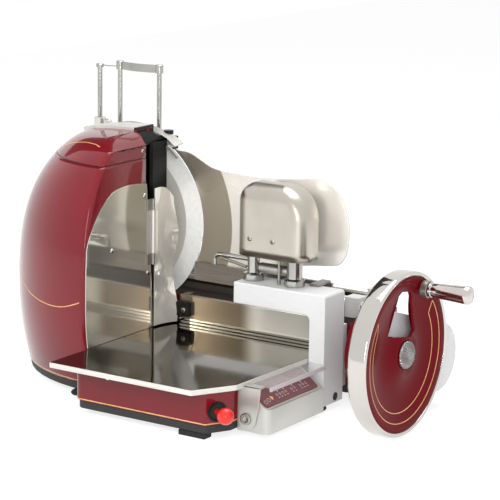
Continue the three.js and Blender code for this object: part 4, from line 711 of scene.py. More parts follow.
addSoftened("gauge_bar", "taupe", 0.8)
print("gauge made")

# Rounded cover over the two columns: each level is a rounded box that draws in along quarter circles,
# a wide one to the right, a middling one to the left and narrow ones to front and rear.
cover = {"x0": 266, "x1": 393, "y0": -84, "y1": -20, "z0": 228, "z1": 343, "corner": 24, "leastCorner": 1,
         "domeLeft": 31, "domeRight": 54, "domeY": 26, "sideRows": 6, "domeRows": 34,
         "roofShares": (0.66, 0.33, 0.0), "screwX": (296, 338), "screwZ": 256.5, "screwRadius": 4.2}


# The levels' rings from foot to roof, and the roof drawn in to its middle.
def coverGrid():
    c = cover
    side = c["z1"] - c["domeRight"]
    rise = np.concatenate([np.linspace(c["z0"], side, c["sideRows"])[:-1],
                           side + c["domeRight"] * np.sin(np.linspace(0, math.pi / 2, c["domeRows"]))])
    left, right, depth = (r - np.sqrt(np.clip(r ** 2 - np.clip(rise - c["z1"] + r, 0, r) ** 2, 0, None))
                          for r in (c["domeLeft"], c["domeRight"], c["domeY"]))
    rings = []
    for z, fromLeft, fromRight, fromFront in zip(rise, left, right, depth):
        corner = max(c["corner"] - fromFront, c["leastCorner"])
        level = roundedBox((c["x0"] + fromLeft, c["x1"] - fromRight),
                           (c["y0"] + fromFront, c["y1"] - fromFront), corner, steps=12)
        rings.append(across("z", level, z))
    middle = rings[-1].mean(0)
    return np.array(rings + [middle + (rings[-1] - middle) * share for share in c["roofShares"]])


addGrid("cover_shell", coverGrid(), "mirrorCover", "frame", closeColumns=True, sharp=60, thick=2,
        replaced=("box_cover",))
for k, x in enumerate(cover["screwX"]):
    addScrew(f"cover_screw{k}", (x, cover["y0"], cover["screwZ"]), "y", -1, cover["screwRadius"])

# Columns on their collars, the lever rod with its stay, and the stop rod
columns = {"y": -56, "z0": 185.3, "z1": 318, "collar": 16.5, "collarHigh": 11, "ease": 1.5, "fillet": 1.2,
           "rods": {"column_left": (286, 9.5), "column_right": (362, 12.5)}}
for name, (x, radius) in columns["rods"].items():
    foot, top = columns["z0"], columns["z0"] + columns["collarHigh"]
    profile = [(0, foot), (columns["collar"], foot), (columns["collar"], top - columns["ease"]),
               (columns["collar"] - columns["ease"], top), (radius + columns["fillet"], top),
               (radius, top + columns["fillet"]), (radius, columns["z1"]), (0, columns["z1"])]
    addTurned(name + "_rod", profile, "z", (x, columns["y"], 0), "postSteel", "frame", sharp=40,
              replaced=(name,))
lever = {"y": -52, "radius": 3.8, "stayRadius": 2.6,
         "rod": [(286, 216), (250, 216), (224, 216), (214.5, 214.5), (210.5, 210), (210, 199)],
         "stay": [(222, 211), (245, 207), (270, 202.6)]}
addTube("lever_rod", across("y", smoothPath(lever["rod"]), lever["y"]), lever["radius"], "postSteel", "frame")
addTube("lever_stay", across("y", lever["stay"], lever["y"]), lever["stayRadius"], "steel", "frame")
stopRod = {"profile": [(0, 185), (3.2, 185), (3.2, 190), (2.5, 190.5), (2.5, 316), (0, 316)], "axis": "z",
           "centre": (337, -61.5, 0), "sides": 32}
addTurned("stop_rod", look="steel", body="frame", **stopRod)
addSoftened("guide_bar", "brushed", 0.6)
print("cover made")

# Portal and its brace
portal = {"outline": [(269, 185, 2), (437, 185, 5), (437, 9, 2), (409, 9, 2), (409, 151, 9), (269, 151, 2)],
          "front": -87, "rear": -28}
addPrism("portal_arch", rounded(portal["outline"]), "y", portal["front"], portal["rear"], "satin", "frame",
         replaced=("portal_frame",), bevel=1.6, steps=4, sharp=50)
addSoftened("portal_brace", "satin", 1)
plug = {"profile": [(0, 0.9), (4, 0.8), (6.4, 0.4), (7, -0.4), (0, -0.4)], "axis": "x",
        "centre": (437, -50.6, 19), "sides": 48}
addTurned("portal_plug", look="rubber", body="frame", **plug)

# Trim along the front panel's foot, and the dark stop beside the deflector
trim = {"x": (112, 371), "panelY": -20.2,
        "strips": [(84.2, 87.8, 3.2, "mirror"), (87.8, 89.4, 1.6, "trimBlack"), (89.4, 93, 3.2, "mirror")]}
for k, (z0, z1, out, look) in enumerate(trim["strips"]):
    addPrism(f"panel_trim{k}", rectangle(*trim["x"], trim["panelY"] - out, trim["panelY"]), "z", z0, z1, look,
             "frame", bevel=0.3)
stop = {"outline": [(117, 96.5, 2), (143, 96.5, 2), (143, 120, 3), (117, 120, 3)], "front": -29,
        "rear": -20.4, "screwPlace": (133, -29, 107), "screwRadius": 4}
addPrism("stop_block", rounded(stop["outline"], steps=5), "y", stop["front"], stop["rear"], "trimBlack",
         "frame", bevel=0.8)
addScrew("stop_screw", stop["screwPlace"], "y", -1, stop["screwRadius"], "steel")

# Receiving tray: a sheet with a thin bright edge, its mirror top and the dark underside
tray = {"sheet": [(103.9, -341, 2), (367, -341, 3), (404, -277, 3), (408.4, -87.3, 1), (408.4, -20.3, 1),
                  (103.9, -20.3, 1)],
        "top": [(104.5, -339.8, 2), (366.4, -339.8, 3), (402.8, -276.6, 3), (407.2, -87.3, 1),
                (407.2, -21, 1), (104.5, -21, 1)],
        "under": [(110, -332, 2), (364, -332, 3), (398, -273, 3), (402, -88, 1), (402, -24, 1),
                  (110, -24, 1)],
        "sheetZ": (75, 83), "topZ": (82.6, 83.4), "underZ": (74.4, 76)}
addPrism("tray_sheet", rounded(tray["sheet"], steps=5), "z", *tray["sheetZ"], "plateSteel", "frame",
         replaced=("receiving_tray",), bevel=0.8, steps=3, sharp=30)
# The mirror top's dark colour is a painted reflection
addPrism("tray_top", rounded(tray["top"], steps=5), "z", *tray["topZ"], "mirrorTray", "frame", bevel=0.2)
addPrism("tray_under", rounded(tray["under"], steps=5), "z", *tray["underZ"], "trimBlack", "frame", bevel=0.5)
trayCatch = {"profile": [(0, 0), (3.4, 0), (3.4, -9), (2.6, -9.8), (0, -9.8)], "axis": "y",
             "centre": (214, -331, 76.6), "sides": 32}
addTurned("tray_catch", look="chrome", body="frame", bevel=0.3, **trayCatch)

# Base under the tray, with its gold line
base = {"left": 126, "front": -309, "cornerX": 370, "right": 391.4, "chamferY": -270, "z0": 22, "z1": 74.1,
        "rear": -20.3, "frontCorner": 14, "corner": 4, "rearCorner": 1, "lineRear": -120, "lineOut": 0.2,
        "lineZ": (23.2, 25.2)}
b = base
basePlan = rounded([(b["left"], b["rear"], b["rearCorner"]), (b["left"], b["front"], b["frontCorner"]),
                    (b["cornerX"], b["front"], b["corner"]), (b["right"], b["chamferY"], b["corner"]),
                    (b["right"], b["rear"], b["rearCorner"])], steps=10)
addPrism("base_shell", basePlan, "z", b["z0"], b["z1"], "enamel", "frame", replaced=("base_body",), bevel=1.2,
         steps=3, sharp=50)
lineLeft, lineRight = b["left"] - b["lineOut"], b["right"] + b["lineOut"]
lineFront = b["front"] - b["lineOut"]
linePlan = rounded([(lineLeft, b["lineRear"]), (lineLeft, lineFront, b["frontCorner"]),
                    (b["cornerX"], lineFront, b["corner"]), (lineRight, b["chamferY"], b["corner"]),
                    (lineRight, b["rear"])], steps=10)
addGrid("line_base", [across("z", linePlan, z) for z in b["lineZ"]], "goldLine", "frame", thick=gold["thick"])

# Push knob in the base's chamfer: its parts are turned about the chamfer's normal.
chamferRun = np.array([base["right"] - base["cornerX"], base["chamferY"] - base["front"]])
chamfer = chamferRun / np.linalg.norm(chamferRun)
knob = {"alongShare": 0.45, "z": 42, "ball": 12.8, "out": 27, "ballRows": 30, "stem": 5, "sides": 64,
        "stemProfile": [(5, 14), (5, -8.5), (0, -8.5)],
        "ring": [(11.2, 0.2), (12, 1.1), (14.5, 1.3), (15.6, 0.9), (15.8, 0.1), (15.8, -0.3), (11.2, -0.3),
                 (11.2, 0.2)],
        "well": [(0, 0.15), (11.3, 0.15), (11.3, -0.2), (0, -0.2)]}
knobPlace = np.array([base["cornerX"] + knob["alongShare"] * chamferRun[0],
                      base["front"] + knob["alongShare"] * chamferRun[1], knob["z"]])


# A profile of (radius, distance) points turned about the normal through the knob's place.
def addOutward(name, profile, look, body, **more):
    profile = np.asarray(profile, float)
    circle = unitCircle(knob["sides"])
    ring = circle[:, :1] * np.array([*chamfer, 0]) + circle[:, 1:] * np.array([0, 0, 1.0])
    outward = np.array([chamfer[1], -chamfer[0], 0])
    grid = profile[:, 0, None, None] * ring + profile[:, 1, None, None] * outward + knobPlace
    return addGrid(name, grid, look, body, closeColumns=True, **more)


addOutward("knob_ring", knob["ring"], "trimBlack", "frame", sharp=50)
addOutward("knob_well", knob["well"], "rubber", "frame")
ballProfile = [(knob["ball"] * math.sin(t), knob["out"] + knob["ball"] * math.cos(t))
               for t in np.linspace(0, math.pi, knob["ballRows"])
               if knob["ball"] * math.sin(t) > knob["stem"] or math.cos(t) > 0]
addOutward("knob_ball", ballProfile + knob["stemProfile"], "ball", "knob", replaced=("push_knob",), sharp=50)
print("base made")

# Console case: across X, each slice runs from the rounded front to the rear, under the sloping label.
console = {"x0": 391.8, "x1": 447, "front": -256, "rear": -101, "bottom": 8, "low": 46, "shelf": 12,
           "high": 74.1, "corner": 12, "inset": 5, "cornerRows": 10}
c = console
shelfX, cornerX, slopeX = c["x0"] + c["shelf"], c["x1"] - c["corner"], c["x1"] - c["inset"]
cornerSlices = cornerX + c["corner"] * np.sin(np.linspace(0, math.pi / 2, c["cornerRows"]))
slices = np.unique([c["x0"], shelfX, cornerX, slopeX, *cornerSlices])
intoCorner = np.clip(slices - cornerX, 0, None)
caseFront = c["front"] + c["corner"] - np.sqrt(np.clip(c["corner"] ** 2 - intoCorner ** 2, 0, None))
caseTop = np.interp(slices, (shelfX, slopeX), (c["high"], c["low"]))
caseRear, caseBottom = np.full_like(slices, c["rear"]), np.full_like(slices, c["bottom"])
caseGrid = np.stack([np.stack([slices, y, z], -1) for y, z in (
    (caseFront, caseBottom), (caseFront, caseTop), (caseRear, caseTop), (caseRear, caseBottom))], 1)
addGrid("console_case", caseGrid, "consoleMetal", "frame", closeColumns=True, capped=True, bevel=1, sharp=50,
        replaced=("console_body",))
addSoftened("label_panel", "labelRed", 0.4)

# Clear cover over the label, with its thick lip
clearCover = {"front": -243, "rear": -87.4, "lipX": (440.3, 441.2), "lipZ": (70.6, 77.4),
              "section": [(409.2, 76.4), (437.2, 76.4), (438.4, 75.2), (438.4, 71), (440.2, 71), (440.2, 76),
                          (438.2, 78), (409.2, 78)]}
addPrism("cover_sheet", clearCover["section"], "y", clearCover["front"], clearCover["rear"], "clear", "frame",
         bevel=0.3, replaced=("console_cover",))
addPrism("cover_lip", rectangle(*clearCover["lipX"], clearCover["front"], clearCover["rear"]), "z",
         *clearCover["lipZ"], "clearEdge", "frame", bevel=0.2)

# Front bracket: a flap with a fold back over the case, held by a screw
bracket = {"front": -258.75, "rear": -256.25, "top": 79, "left": 393.8, "right": 433.5, "foldRear": -244,
           "foldLow": 2.5, "foldHigh": 0.1, "foot": [(395.3, 13, 13), (423, 13, 13), (430, 45, 10)],
           "topCorner": 1.5, "foldCorner": 1, "foldRearCorner": 3}
b = bracket
flapOutline = rounded([(b["left"], b["top"], b["topCorner"]), *b["foot"],
                       (b["right"], b["top"], b["topCorner"])])
addPrism("bracket_flap", flapOutline, "y", b["front"], b["rear"], "consoleMetal", "frame", bevel=0.5,
         sharp=40, replaced=("console_bracket",))
foldPlan = rounded([(b["left"], b["front"], b["foldCorner"]), (b["right"], b["front"], b["foldCorner"]),
                    (b["right"], b["foldRear"], b["foldRearCorner"]),
                    (b["left"], b["foldRear"], b["foldRearCorner"])], steps=5)
addPrism("bracket_fold", foldPlan, "z", b["top"] - b["foldLow"], b["top"] + b["foldHigh"], "consoleMetal",
         "frame", bevel=0.6, sharp=40)
bracketScrew = {"profile": [(0, -1), (4, -1), (4.8, -1.6), (5.4, -3.4), (7.6, -3.9), (8.8, -3), (9.2, -1),
                            (9.2, 0.1), (0, 0.1)],
                "axis": "y", "centre": (409, bracket["front"], 28), "sides": 64}
addTurned("bracket_screw", look="steel", body="frame", sharp=50, **bracketScrew)

# Generic marks on the sloping label. Rings: down, along, radius and width
label = {"top": (403.8, 74.1), "foot": (442, 46), "lifts": (1.3, 1.55), "ringGap": 0.06, "ringSteps": 40,
         "arrow": [(29, -226), (36, -226), (36, -222.5), (32, -219.5), (29, -222.5)],
         "rings": [(36, -243, 3.6, 0.7), (34, -233.5, 3.6, 0.7)],
         "dotsAlong": (-207, -199, -191, -183, -167, -159, -143, -135, -127), "dot": (2.2, 0.6),
         "dotDown": 31, "barDown": (36, 37.2), "barHalf": 2, "tipDown": (24, 27, 25.5), "tipHalf": 1.8}
slopeTop, slopeFoot = np.array(label["top"]), np.array(label["foot"])
slope = (slopeFoot - slopeTop) / np.linalg.norm(slopeFoot - slopeTop)
slopeOut = np.array([-slope[1], slope[0]])


# An outline of (down, along) points as a thin plate: down times the slope, lifted along its normal.
def addMark(name, outline, look="labelMark"):
    outline = np.asarray(outline, float)
    rings = [across("y", slopeTop + outline[:, :1] * slope + slopeOut * lift, outline[:, 1])
             for lift in label["lifts"]]
    addGrid(name, rings, look, "frame", closeColumns=True, capped=True)


# A ring as one outline: round its outer circle and back round its inner one, with a hair's gap.
def markRing(down, along, radius, width):
    t = np.linspace(label["ringGap"], 2 * math.pi - label["ringGap"], label["ringSteps"])
    ring = np.stack([np.cos(t), np.sin(t)], 1)
    return np.concatenate([ring * radius, ring[::-1] * (radius - width)]) + np.array([down, along])


for k, ring in enumerate(label["rings"]):
    addMark(f"mark_ring{k}", markRing(*ring))
addMark("mark_arrow", label["arrow"], "goldLine")
for k, along in enumerate(label["dotsAlong"]):
    addMark(f"mark_dot{k}", markRing(label["dotDown"], along, *label["dot"]))
    addMark(f"mark_bar{k}", rectangle(*label["barDown"], along - label["barHalf"], along + label["barHalf"]))
    if k % 2:
        low, high, middle = label["tipDown"]
        addMark(f"mark_tip{k}", [(low, along - label["tipHalf"]), (high, along - label["tipHalf"]),
                                 (middle, along + label["tipHalf"])])
print("console made")

# Dark lid over the rear housing
housingLid = {"x": (-171, 435), "y": (7, 149), "z": (121.6, 122.6), "corner": 13}
lidPlan = roundedBox(housingLid["x"], housingLid["y"], housingLid["corner"])
addPrism("housing_lid", lidPlan, "z", *housingLid["z"], "lidBlack", "frame", bevel=0.3)

# The guard's rear band, wider towards its right end: front and back radius over the turn in degrees
guardBand = {"turn": (52, 92), "steps": 48, "y": (-8.0, 13.0), "wall": 2.6,
             "front": [(52, 158), (58, 158.4), (65, 156.5), (75, 153.6), (90, 153.4)],
             "back": [(52, 162.4), (62, 160.4), (70, 156.4), (80, 153.4), (90, 153.4)]}
bandTurn = np.linspace(*guardBand["turn"], guardBand["steps"])
bandFront, bandBack = (np.interp(bandTurn, *np.array(guardBand[end]).T) for end in ("front", "back"))
bandWay = np.column_stack([np.cos(np.radians(bandTurn)), np.sin(np.radians(bandTurn))])
bandGrid = np.stack([across("y", radius[:, None] * bandWay + (0, bladeZ), y) for radius, y in (
    (bandFront, guardBand["y"][0]), (bandFront + guardBand["wall"], guardBand["y"][0]),
    (bandBack + guardBand["wall"], guardBand["y"][1]), (bandBack, guardBand["y"][1]))], 1)
addGrid("guard_band", bandGrid, "bandSteel", "frame", closeColumns=True, capped=True, bevel=0.4, sharp=50)

# The deflector's hinge runs unbroken between its knuckles.
hinge = {"z0": 190, "z1": 295, "radius": 2.7, "centre": (106.7, -77, 0), "leafX": (103.5, 104.9),
         "leafY": (-90, -78)}
hingeProfile = rectangle(0, hinge["radius"], hinge["z0"], hinge["z1"])
addTurned("hinge_tube", hingeProfile, "z", hinge["centre"], "steel", "frame", sides=32, bevel=0.2)
addPrism("hinge_leaf", rectangle(*hinge["leafX"], *hinge["leafY"]), "z", hinge["z0"], hinge["z1"],
         "bandSteel", "frame", bevel=0.2)

# Everything else takes the CAD's form with eased edges: look and width of the easing
plain = {
    # The throat's covers take the darkened black: partly painted shade
    "tower_back_cover": ("throatBlackAndShade", 0.6), "throat_cover": ("throatBlackAndShade", 0.6),
    "bed_plate": ("skirt", 1.2), "rear_housing": ("enamel", 2.5), "front_panel": ("mirrorPanel", 0.5),
    "foot_rear_left": ("rubber", 0.8), "foot_rear_right": ("rubber", 0.8), "foot_front_left": ("rubber", 0.8),
    "foot_front_right": ("rubber", 1.5), "foot_portal": ("rubber", 0.8),
    "rail_support_left": ("satin", 1), "rail_support_right": ("satin", 1),
    "blade_hub": ("steel", 0.4), "gear_case": ("enamelDiscPaintedShade", 1.2), "gear_case_cover": ("satin", 1),
    "drive_arm": ("enamelDiscPaintedShade", 2), "idler_gear": ("steel", 0.3), "main_shaft": ("steel", 0.3),
    "lay_shaft": ("steel", 0.3), "drive_belt": ("rubber", 0.3), "bearing_stand": ("taupe", 1),
    "flywheel_shaft": ("steel", 0.4), "slice_deflector": ("deflectorSteel", 0.2),
    "deflector_hinge": ("steel", 0.2), "guard_strip": ("bandSteel", 0.5), "guard_ring": ("brushed", 0.5),
    "sharpener_body": ("trimBlack", 1.5), "carriage": ("satin", 0.8), "product_table": ("brushed", 0.8),
    "feed_screw": ("trimBlack", 0.6), "press_bar": ("brushed", 0.6),
}
softened = {node: addSoftened(node, look, width) for node, (look, width) in plain.items()}
for node in ("throat_cover", "tower_back_cover"):
    corners = softened[node].data.vertices
    flat = np.empty(len(corners) * 3)
    corners.foreach_get("co", flat)
    points = (flat.reshape(-1, 3) - origin) / milli
    points[:, 2] = np.minimum(points[:, 2], underBand(points) - bandLimit["coverDrop"])
    corners.foreach_set("co", place(points).ravel())
print("plain pieces made")

# Rails
rails = {"y": {"rail_front": 52, "rail_rear": 122}, "z": 142,
         "profile": [(0, -159), (7, -159), (8, -158), (8, 422), (7, 423), (0, 423)]}
for name, y in rails["y"].items():
    addTurned(name + "_rod", rails["profile"], "x", (0, y, rails["z"]), "chrome", "frame", sharp=50,
              replaced=(name,))

# Posts with their collars (place across and height of the collar), the strap, the clamp and the wire
posts = {"foot": 186.4, "top": 480, "y": 34, "radius": 4, "collar": 6.5, "ease": 1,
         "each": {"post_left": (-85, 6), "post_middle": (-43, 14), "post_right": (37, 14)},
         "replaced": {"post_left": ("fence_post",), "post_middle": ("press_frame",)}}
for name, (x, high) in posts["each"].items():
    collarTop = posts["top"] + high
    profile = [(0, posts["foot"]), (posts["radius"], posts["foot"]), (posts["radius"], posts["top"]),
               (posts["collar"], posts["top"]), (posts["collar"], collarTop - posts["ease"]),
               (posts["collar"] - posts["ease"], collarTop), (0, collarTop)]
    addTurned(name, profile, "z", (x, posts["y"], 0), "postSteel", "table", sharp=40, sides=48,
              replaced=posts["replaced"].get(name, ()))
strap = {"half": 40, "bow": 9, "wall": 3, "middle": (-3, 34), "z": (480.5, 493.5), "steps": 40}
strapX = np.linspace(-strap["half"], strap["half"], strap["steps"])
strapWay = np.column_stack([strapX, strap["bow"] * ((strapX / strap["half"]) ** 2 - 1)]) + strap["middle"]
strapWall = np.array([0, strap["wall"] / 2])
strapPlan = np.concatenate([strapWay - strapWall, (strapWay + strapWall)[::-1]])
addPrism("press_strap", strapPlan, "z", *strap["z"], "postSteel", "table", bevel=0.4, sharp=50)
clamp = {"x": (-92.5, -77.5), "y": (26.5, 41.5), "z": (381.5, 396.5), "corner": 2,
         "knob": [(0, -78), (3, -78), (3, -74), (5, -73.5), (5, -64), (4.2, -63), (0, -63)],
         "knobCentre": (0, 34, 389)}
clampPlan = roundedBox(clamp["x"], clamp["y"], clamp["corner"], steps=5)
addPrism("post_clamp", clampPlan, "z", *clamp["z"], "chrome", "table", bevel=0.8, steps=3)
addTurned("clamp_knob", clamp["knob"], "x", clamp["knobCentre"], "chrome", "table", sides=48, sharp=40)
wire = {"path": [(-85, 34, 484.5), (-70, 33.5, 483.8), (-56, 33.5, 484.2), (-43, 34, 485)], "radius": 0.8,
        "sides": 10}
addTube("post_wire", smoothPath(wire["path"]), wire["radius"], "steel", "table", sides=wire["sides"])
print("press made")

# Flywheel: bright rim, dished disc with a window, cap, pin and grip. The disc is pressed in between
# its flat middle and its edge as half a sine wave, leaning inwards by a power.
wheel = {"centre": (605, -132, 130), "disc": 116.4, "hub": 19.3, "dish": 9, "dishFrom": 24,
         "dishToShare": 0.92, "dishPower": 0.8, "thickness": 6,
         "rim": [(116.7, -6.3), (116.7, 0), (118, 1.6), (120.3, 2), (122.4, 1), (123.7, -2), (124, -9),
                 (123.9, -18), (123, -25), (120.5, -28.6), (117, -30)],
         "rimInside": [(113, -28.6), (112, -26.5), (112, -6.3)],
         "windowShares": [(-0.1, 0.83, 3), (0.13, 0.79, 3), (0.2, 0.7, 4), (0.335, 0.245, 4), (0.164, 0.2, 3),
                          (-0.345, 0.285, 3), (-0.165, 0.79, 3)],
         "pinDegrees": 64, "pinCircle": 102, "pinHole": 6.3, "pinClear": 8, "innerFrom": 26, "innerTo": 115,
         "innerStep": 4, "innerLeast": 24, "sides": 240, "hubSides": 64, "pinSides": 24}
w = wheel
wheelX, wheelY, wheelZ = w["centre"]


# X of the disc's face at a radius, by that half wave.
def dishedX(radius):
    reach = np.clip((radius - w["dishFrom"]) / (w["dishToShare"] * w["disc"] - w["dishFrom"]), 0, 1)
    return wheelX - w["dish"] * np.sin(math.pi * reach ** w["dishPower"])


addTurned("wheel_rim", [*smoothPath(w["rim"]).tolist(), *w["rimInside"]], "x", w["centre"], "chrome",
          "flywheel", sides=w["sides"], closed=True, replaced=("flywheel_rim",), sharp=40)
window = rounded([(a * w["disc"], c * w["disc"], radius) for a, c, radius in w["windowShares"]], steps=5)
pinAngle = math.radians(w["pinDegrees"])
pinPlace = np.array([w["pinCircle"] * math.cos(pinAngle), w["pinCircle"] * math.sin(pinAngle)])
inner = np.concatenate([radius * unitCircle(max(w["innerLeast"], radius * 2))
                        for radius in range(w["innerFrom"], w["innerTo"], w["innerStep"])])
inner = inner[~within(inner, window) & (np.linalg.norm(inner - pinPlace, axis=1) > w["pinClear"])]
pinHole = unitCircle(w["pinSides"]) * w["pinHole"] + pinPlace
hubHole = unitCircle(w["hubSides"]) * w["hub"]
discPlan, discFaces = flatSheet(unitCircle(w["sides"]) * w["disc"], [hubHole, window, pinHole], inner)
discX = dishedX(np.hypot(discPlan[:, 0], discPlan[:, 1]))
addMesh("wheel_disc", np.column_stack([discX, wheelY + discPlan[:, 0], wheelZ + discPlan[:, 1]]), discFaces,
        "enamelDiscPaintedShade", "flywheel", replaced=("flywheel_disc",), sharp=50, thick=w["thickness"])


# A thin gold strip over the disc, along points (across, up) from its axis.
def discLine(name, path, width):
    step = np.gradient(path, axis=0)
    normal = np.stack([-step[:, 1], step[:, 0]], 1)
    normal /= np.linalg.norm(normal, axis=1, keepdims=True)
    rows = np.stack([path - normal * width / 2, path + normal * width / 2], 1)
    x = dishedX(np.hypot(rows[..., 0], rows[..., 1])) + gold["discLift"]
    grid = np.stack([x, wheelY + rows[..., 0], wheelZ + rows[..., 1]], -1)
    addGrid(name, grid, "goldLine", "flywheel", thick=gold["thick"])


# Two arcs, as (radius, first degree, last degree), joined at their ends into one horseshoe
shoe = {"arcs": {"shoe_outer": (103, 142, 401), "shoe_inner": (88, 150, 393)}, "steps": 120, "tipSteps": 12,
        "width": 1.3}
arcs = []
for name, (radius, first, last) in shoe["arcs"].items():
    angles = np.radians(np.linspace(first, last, shoe["steps"]))
    arcs.append(radius * np.stack([np.cos(angles), np.sin(angles)], 1))
    discLine(name, arcs[-1], shoe["width"])
for k, end in enumerate((0, -1)):
    start, finish = arcs[0][end], arcs[1][end]
    tip = start + (finish - start) * np.linspace(0, 1, shoe["tipSteps"])[:, None]
    discLine(f"shoe_tip{k}", tip, shoe["width"])

# Hub cap: a flat dome whose side is ribbed by a cosine
hubCap = {"profile": [(0, 9), (4, 9), (5, 8.8), (8, 8.5), (12, 7.8), (16.5, 6.3), (19.4, 3.8), (20.8, 1.4),
                      (21, 0.3), (0, 0.3)],
          "ribs": 24, "ribFrom": 5, "ribOver": 5, "ribShare": 0.02, "ribHigh": 0.5, "ribFoot": 1,
          "sides": 192}
capProfile = np.array(hubCap["profile"])
capCircle = unitCircle(hubCap["sides"])
wave = np.cos(hubCap["ribs"] * np.arctan2(capCircle[:, 1], capCircle[:, 0]))
ribbed = np.clip((capProfile[:, :1] - hubCap["ribFrom"]) / hubCap["ribOver"], 0, 1) * wave
capRadius = capProfile[:, :1] * (1 + hubCap["ribShare"] * ribbed)
capHigh = capProfile[:, 1:] + hubCap["ribHigh"] * ribbed * (capProfile[:, 1:] > hubCap["ribFoot"])
capGrid = across("x", capRadius[..., None] * capCircle, capHigh) + np.array(w["centre"])
addGrid("wheel_cap", capGrid, "capSteel", "flywheel", closeColumns=True, replaced=("hub_cap",), sharp=60)

# Crank pin with its collar, and the grip that turns on it
pin = {"collar": [(0, -5), (6, -5), (6, 2), (13, 2), (13, 11), (12, 12), (6, 12), (6, 60), (0, 60)],
       "grip": [(6.6, 12.6), (10.4, 12.6), (11.2, 13.6), (11.2, 16.4), (10.2, 17.6), (10.2, 20), (11, 21.5),
                (11.3, 28), (12, 45), (13, 62), (13.8, 72), (14, 75.5), (13.6, 76.6), (13.6, 77.4),
                (13, 78.9), (10.6, 79.8), (9.8, 79.2), (9.2, 79.2), (8, 80), (0, 80), (0, 67), (6.6, 67)]}
pinAxis = (wheelX, wheelY + pinPlace[0], wheelZ + pinPlace[1])
addTurned("pin_collar", pin["collar"], "x", pinAxis, "taupe", "flywheel", replaced=("crank_pin",), sharp=40)
addTurned("grip_sleeve", pin["grip"], "x", pinAxis, "gripChrome", "grip", closed=True,
          replaced=("crank_grip",))
print("flywheel made")

# Studio: lengths from here on are metres
studio = {"floor": rectangle(-3, 3, -4, 6), "floorTone": 0.8, "shadeTone": 0.34, "glow": 0.78, "soft": 0.55,
          "bright": 1.0, "cardTone": (0.02, 0.015, 0.015, 1), "aim": (0, 0, 0.2)}


# Camera, glossy and transmission rays together.
def seenByEye(made, links):
    path, first, second = (made.new("ShaderNode" + kind) for kind in ("LightPath", "Math", "Math"))
    first.operation = second.operation = "MAXIMUM"
    links.new(path.outputs["Is Camera Ray"], first.inputs[0])
    links.new(path.outputs["Is Glossy Ray"], first.inputs[1])
    links.new(first.outputs[0], second.inputs[0])
    links.new(path.outputs["Is Transmission Ray"], second.inputs[1])
    return second.outputs[0]


# The floor takes shadows, and glows so that it looks as white as the background.
def floorLook():
    look = bpy.data.materials.new("floorLook")
    look.use_nodes = True
    made, links = look.node_tree.nodes, look.node_tree.links
    made.clear()
    result, lit, shade, glow, total, mixed = (made.new("ShaderNode" + kind) for kind in (
        "OutputMaterial", "BsdfDiffuse", "BsdfDiffuse", "Emission", "AddShader", "MixShader"))
    lit.inputs["Color"].default_value = (*[studio["floorTone"]] * 3, 1)
    shade.inputs["Color"].default_value = (*[studio["shadeTone"]] * 3, 1)
    glow.inputs["Strength"].default_value = studio["glow"]
    links.new(shade.outputs[0], total.inputs[0])
    links.new(glow.outputs[0], total.inputs[1])
    links.new(seenByEye(made, links), mixed.inputs[0])
    links.new(lit.outputs[0], mixed.inputs[1])
    links.new(total.outputs[0], mixed.inputs[2])
    links.new(mixed.outputs[0], result.inputs[0])
    return look


# A flat sheet of four corners at Z = 0.
def addSheet(name, corners, look):
    mesh = bpy.data.meshes.new(name)
    mesh.from_pydata([(*corner, 0) for corner in corners.tolist()], [], [(0, 1, 2, 3)])
    mesh.materials.append(look)
    return addObject(name, mesh)


# The turn that points one axis of an object from its place to an aim.
def aimedTurn(centre, aim, axis):
    return (Vector(aim) - Vector(centre)).to_track_quat(axis, "Y").to_euler()


# Dark cards seen by reflections alone keep the crown's coat and the cover's top dark.
def addCard(name, centre, aim, width, height):
    look = bpy.data.materials.new(name)
    look.use_nodes = True
    look.node_tree.nodes["Principled BSDF"].inputs["Base Color"].default_value = studio["cardTone"]
    card = addSheet(name, rectangle(-width / 2, width / 2, -height / 2, height / 2), look)
    card.location = centre
    card.rotation_euler = aimedTurn(centre, aim, "Z")
    card.visible_camera = card.visible_diffuse = card.visible_shadow = card.visible_transmission = False
    card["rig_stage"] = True


# Cards: place, aim, width and height
cards = {"cardCrown": ((-1.85, 1.2, 1.75), (-0.25, 0, 0.4), 1.7, 1.5),
         "cardCover": ((-1.2, 0.6, 2.1), (0.07, 0, 0.3), 1.0, 0.5)}
for name, card in cards.items():
    addCard(name, *card)
addSheet("floor", studio["floor"], floorLook())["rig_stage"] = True

# The world lights the slicer softly, and is white to the eye and in reflections.
world = bpy.data.worlds.new("studio")
bpy.context.scene.world = world
world.use_nodes = True
made, links = world.node_tree.nodes, world.node_tree.links
made.clear()
result, soft, bright, blend = (made.new("ShaderNode" + kind) for kind in (
    "OutputWorld", "Background", "Background", "MixShader"))
for background, strength in ((soft, studio["soft"]), (bright, studio["bright"])):
    background.inputs["Color"].default_value = (1, 1, 1, 1)
    background.inputs["Strength"].default_value = strength
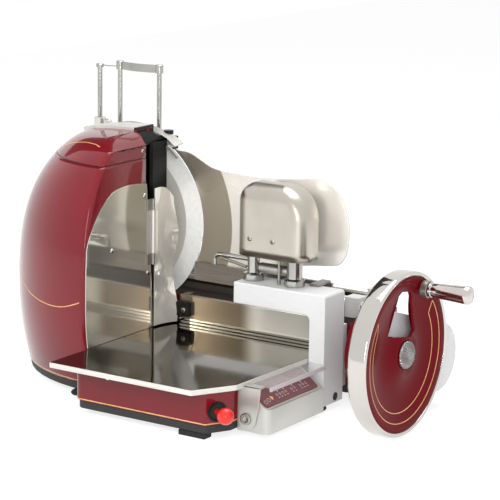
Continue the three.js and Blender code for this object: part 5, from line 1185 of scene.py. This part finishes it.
links.new(seenByEye(made, links), blend.inputs[0])
links.new(soft.outputs[0], blend.inputs[1])
links.new(bright.outputs[0], blend.inputs[2])
links.new(blend.outputs[0], result.inputs[0])

# Lamps: place, width, height, power, and whether reflections show them
lamps = {"keyLight": ((-1.1, -2.0, 1.7), 1.2, 1.2, 36, False),
         "fillLight": ((1.75, -1.9, 1.1), 1.0, 1.4, 38, False),
         "edgeLight": ((1.35, -2.1, 0.6), 0.14, 0.9, 8, True),
         "topLight": ((0.1, 0.4, 2.4), 1.6, 1.6, 34, True)}
for name, (centre, width, height, power, mirrored) in lamps.items():
    light = bpy.data.lights.new(name, "AREA")
    light.shape = "RECTANGLE"
    light.size, light.size_y = width, height
    light.energy = power
    lamp = addObject(name, light)
    lamp.location = centre
    lamp.rotation_euler = aimedTurn(centre, studio["aim"], "-Z")
    lamp.visible_glossy = mirrored

# Camera: its place is in source millimetres, its focal length in pixels of the photo.
view = {"azimuth": 33.29, "elevation": 12.3, "roll": 0.84, "place": (2079.4, -2798.4, 946.5), "focal": 2142,
        "pixels": 500, "sensor": 36, "clipEnd": 100}
azimuth, elevation, roll = (math.radians(view[key]) for key in ("azimuth", "elevation", "roll"))
ahead = Vector((-math.sin(azimuth) * math.cos(elevation), math.cos(azimuth) * math.cos(elevation),
                -math.sin(elevation)))
right = Vector((math.cos(azimuth), math.sin(azimuth), 0))
up = right.cross(ahead)
rolledRight = right * math.cos(roll) + up * math.sin(roll)
rolledUp = up * math.cos(roll) - right * math.sin(roll)
cameraData = bpy.data.cameras.new("camera")
cameraData.sensor_width = view["sensor"]
cameraData.lens = view["focal"] * view["sensor"] / view["pixels"]
cameraData.clip_end = view["clipEnd"]
camera = addObject("camera", cameraData)
turned = Matrix((rolledRight, rolledUp, -ahead)).transposed().to_4x4()
camera.matrix_world = Matrix.Translation(Vector(place(view["place"]).tolist())) @ turned
bpy.context.scene.camera = camera
bpy.context.scene.view_settings.view_transform = "Standard"
print("stage made")

low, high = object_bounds()
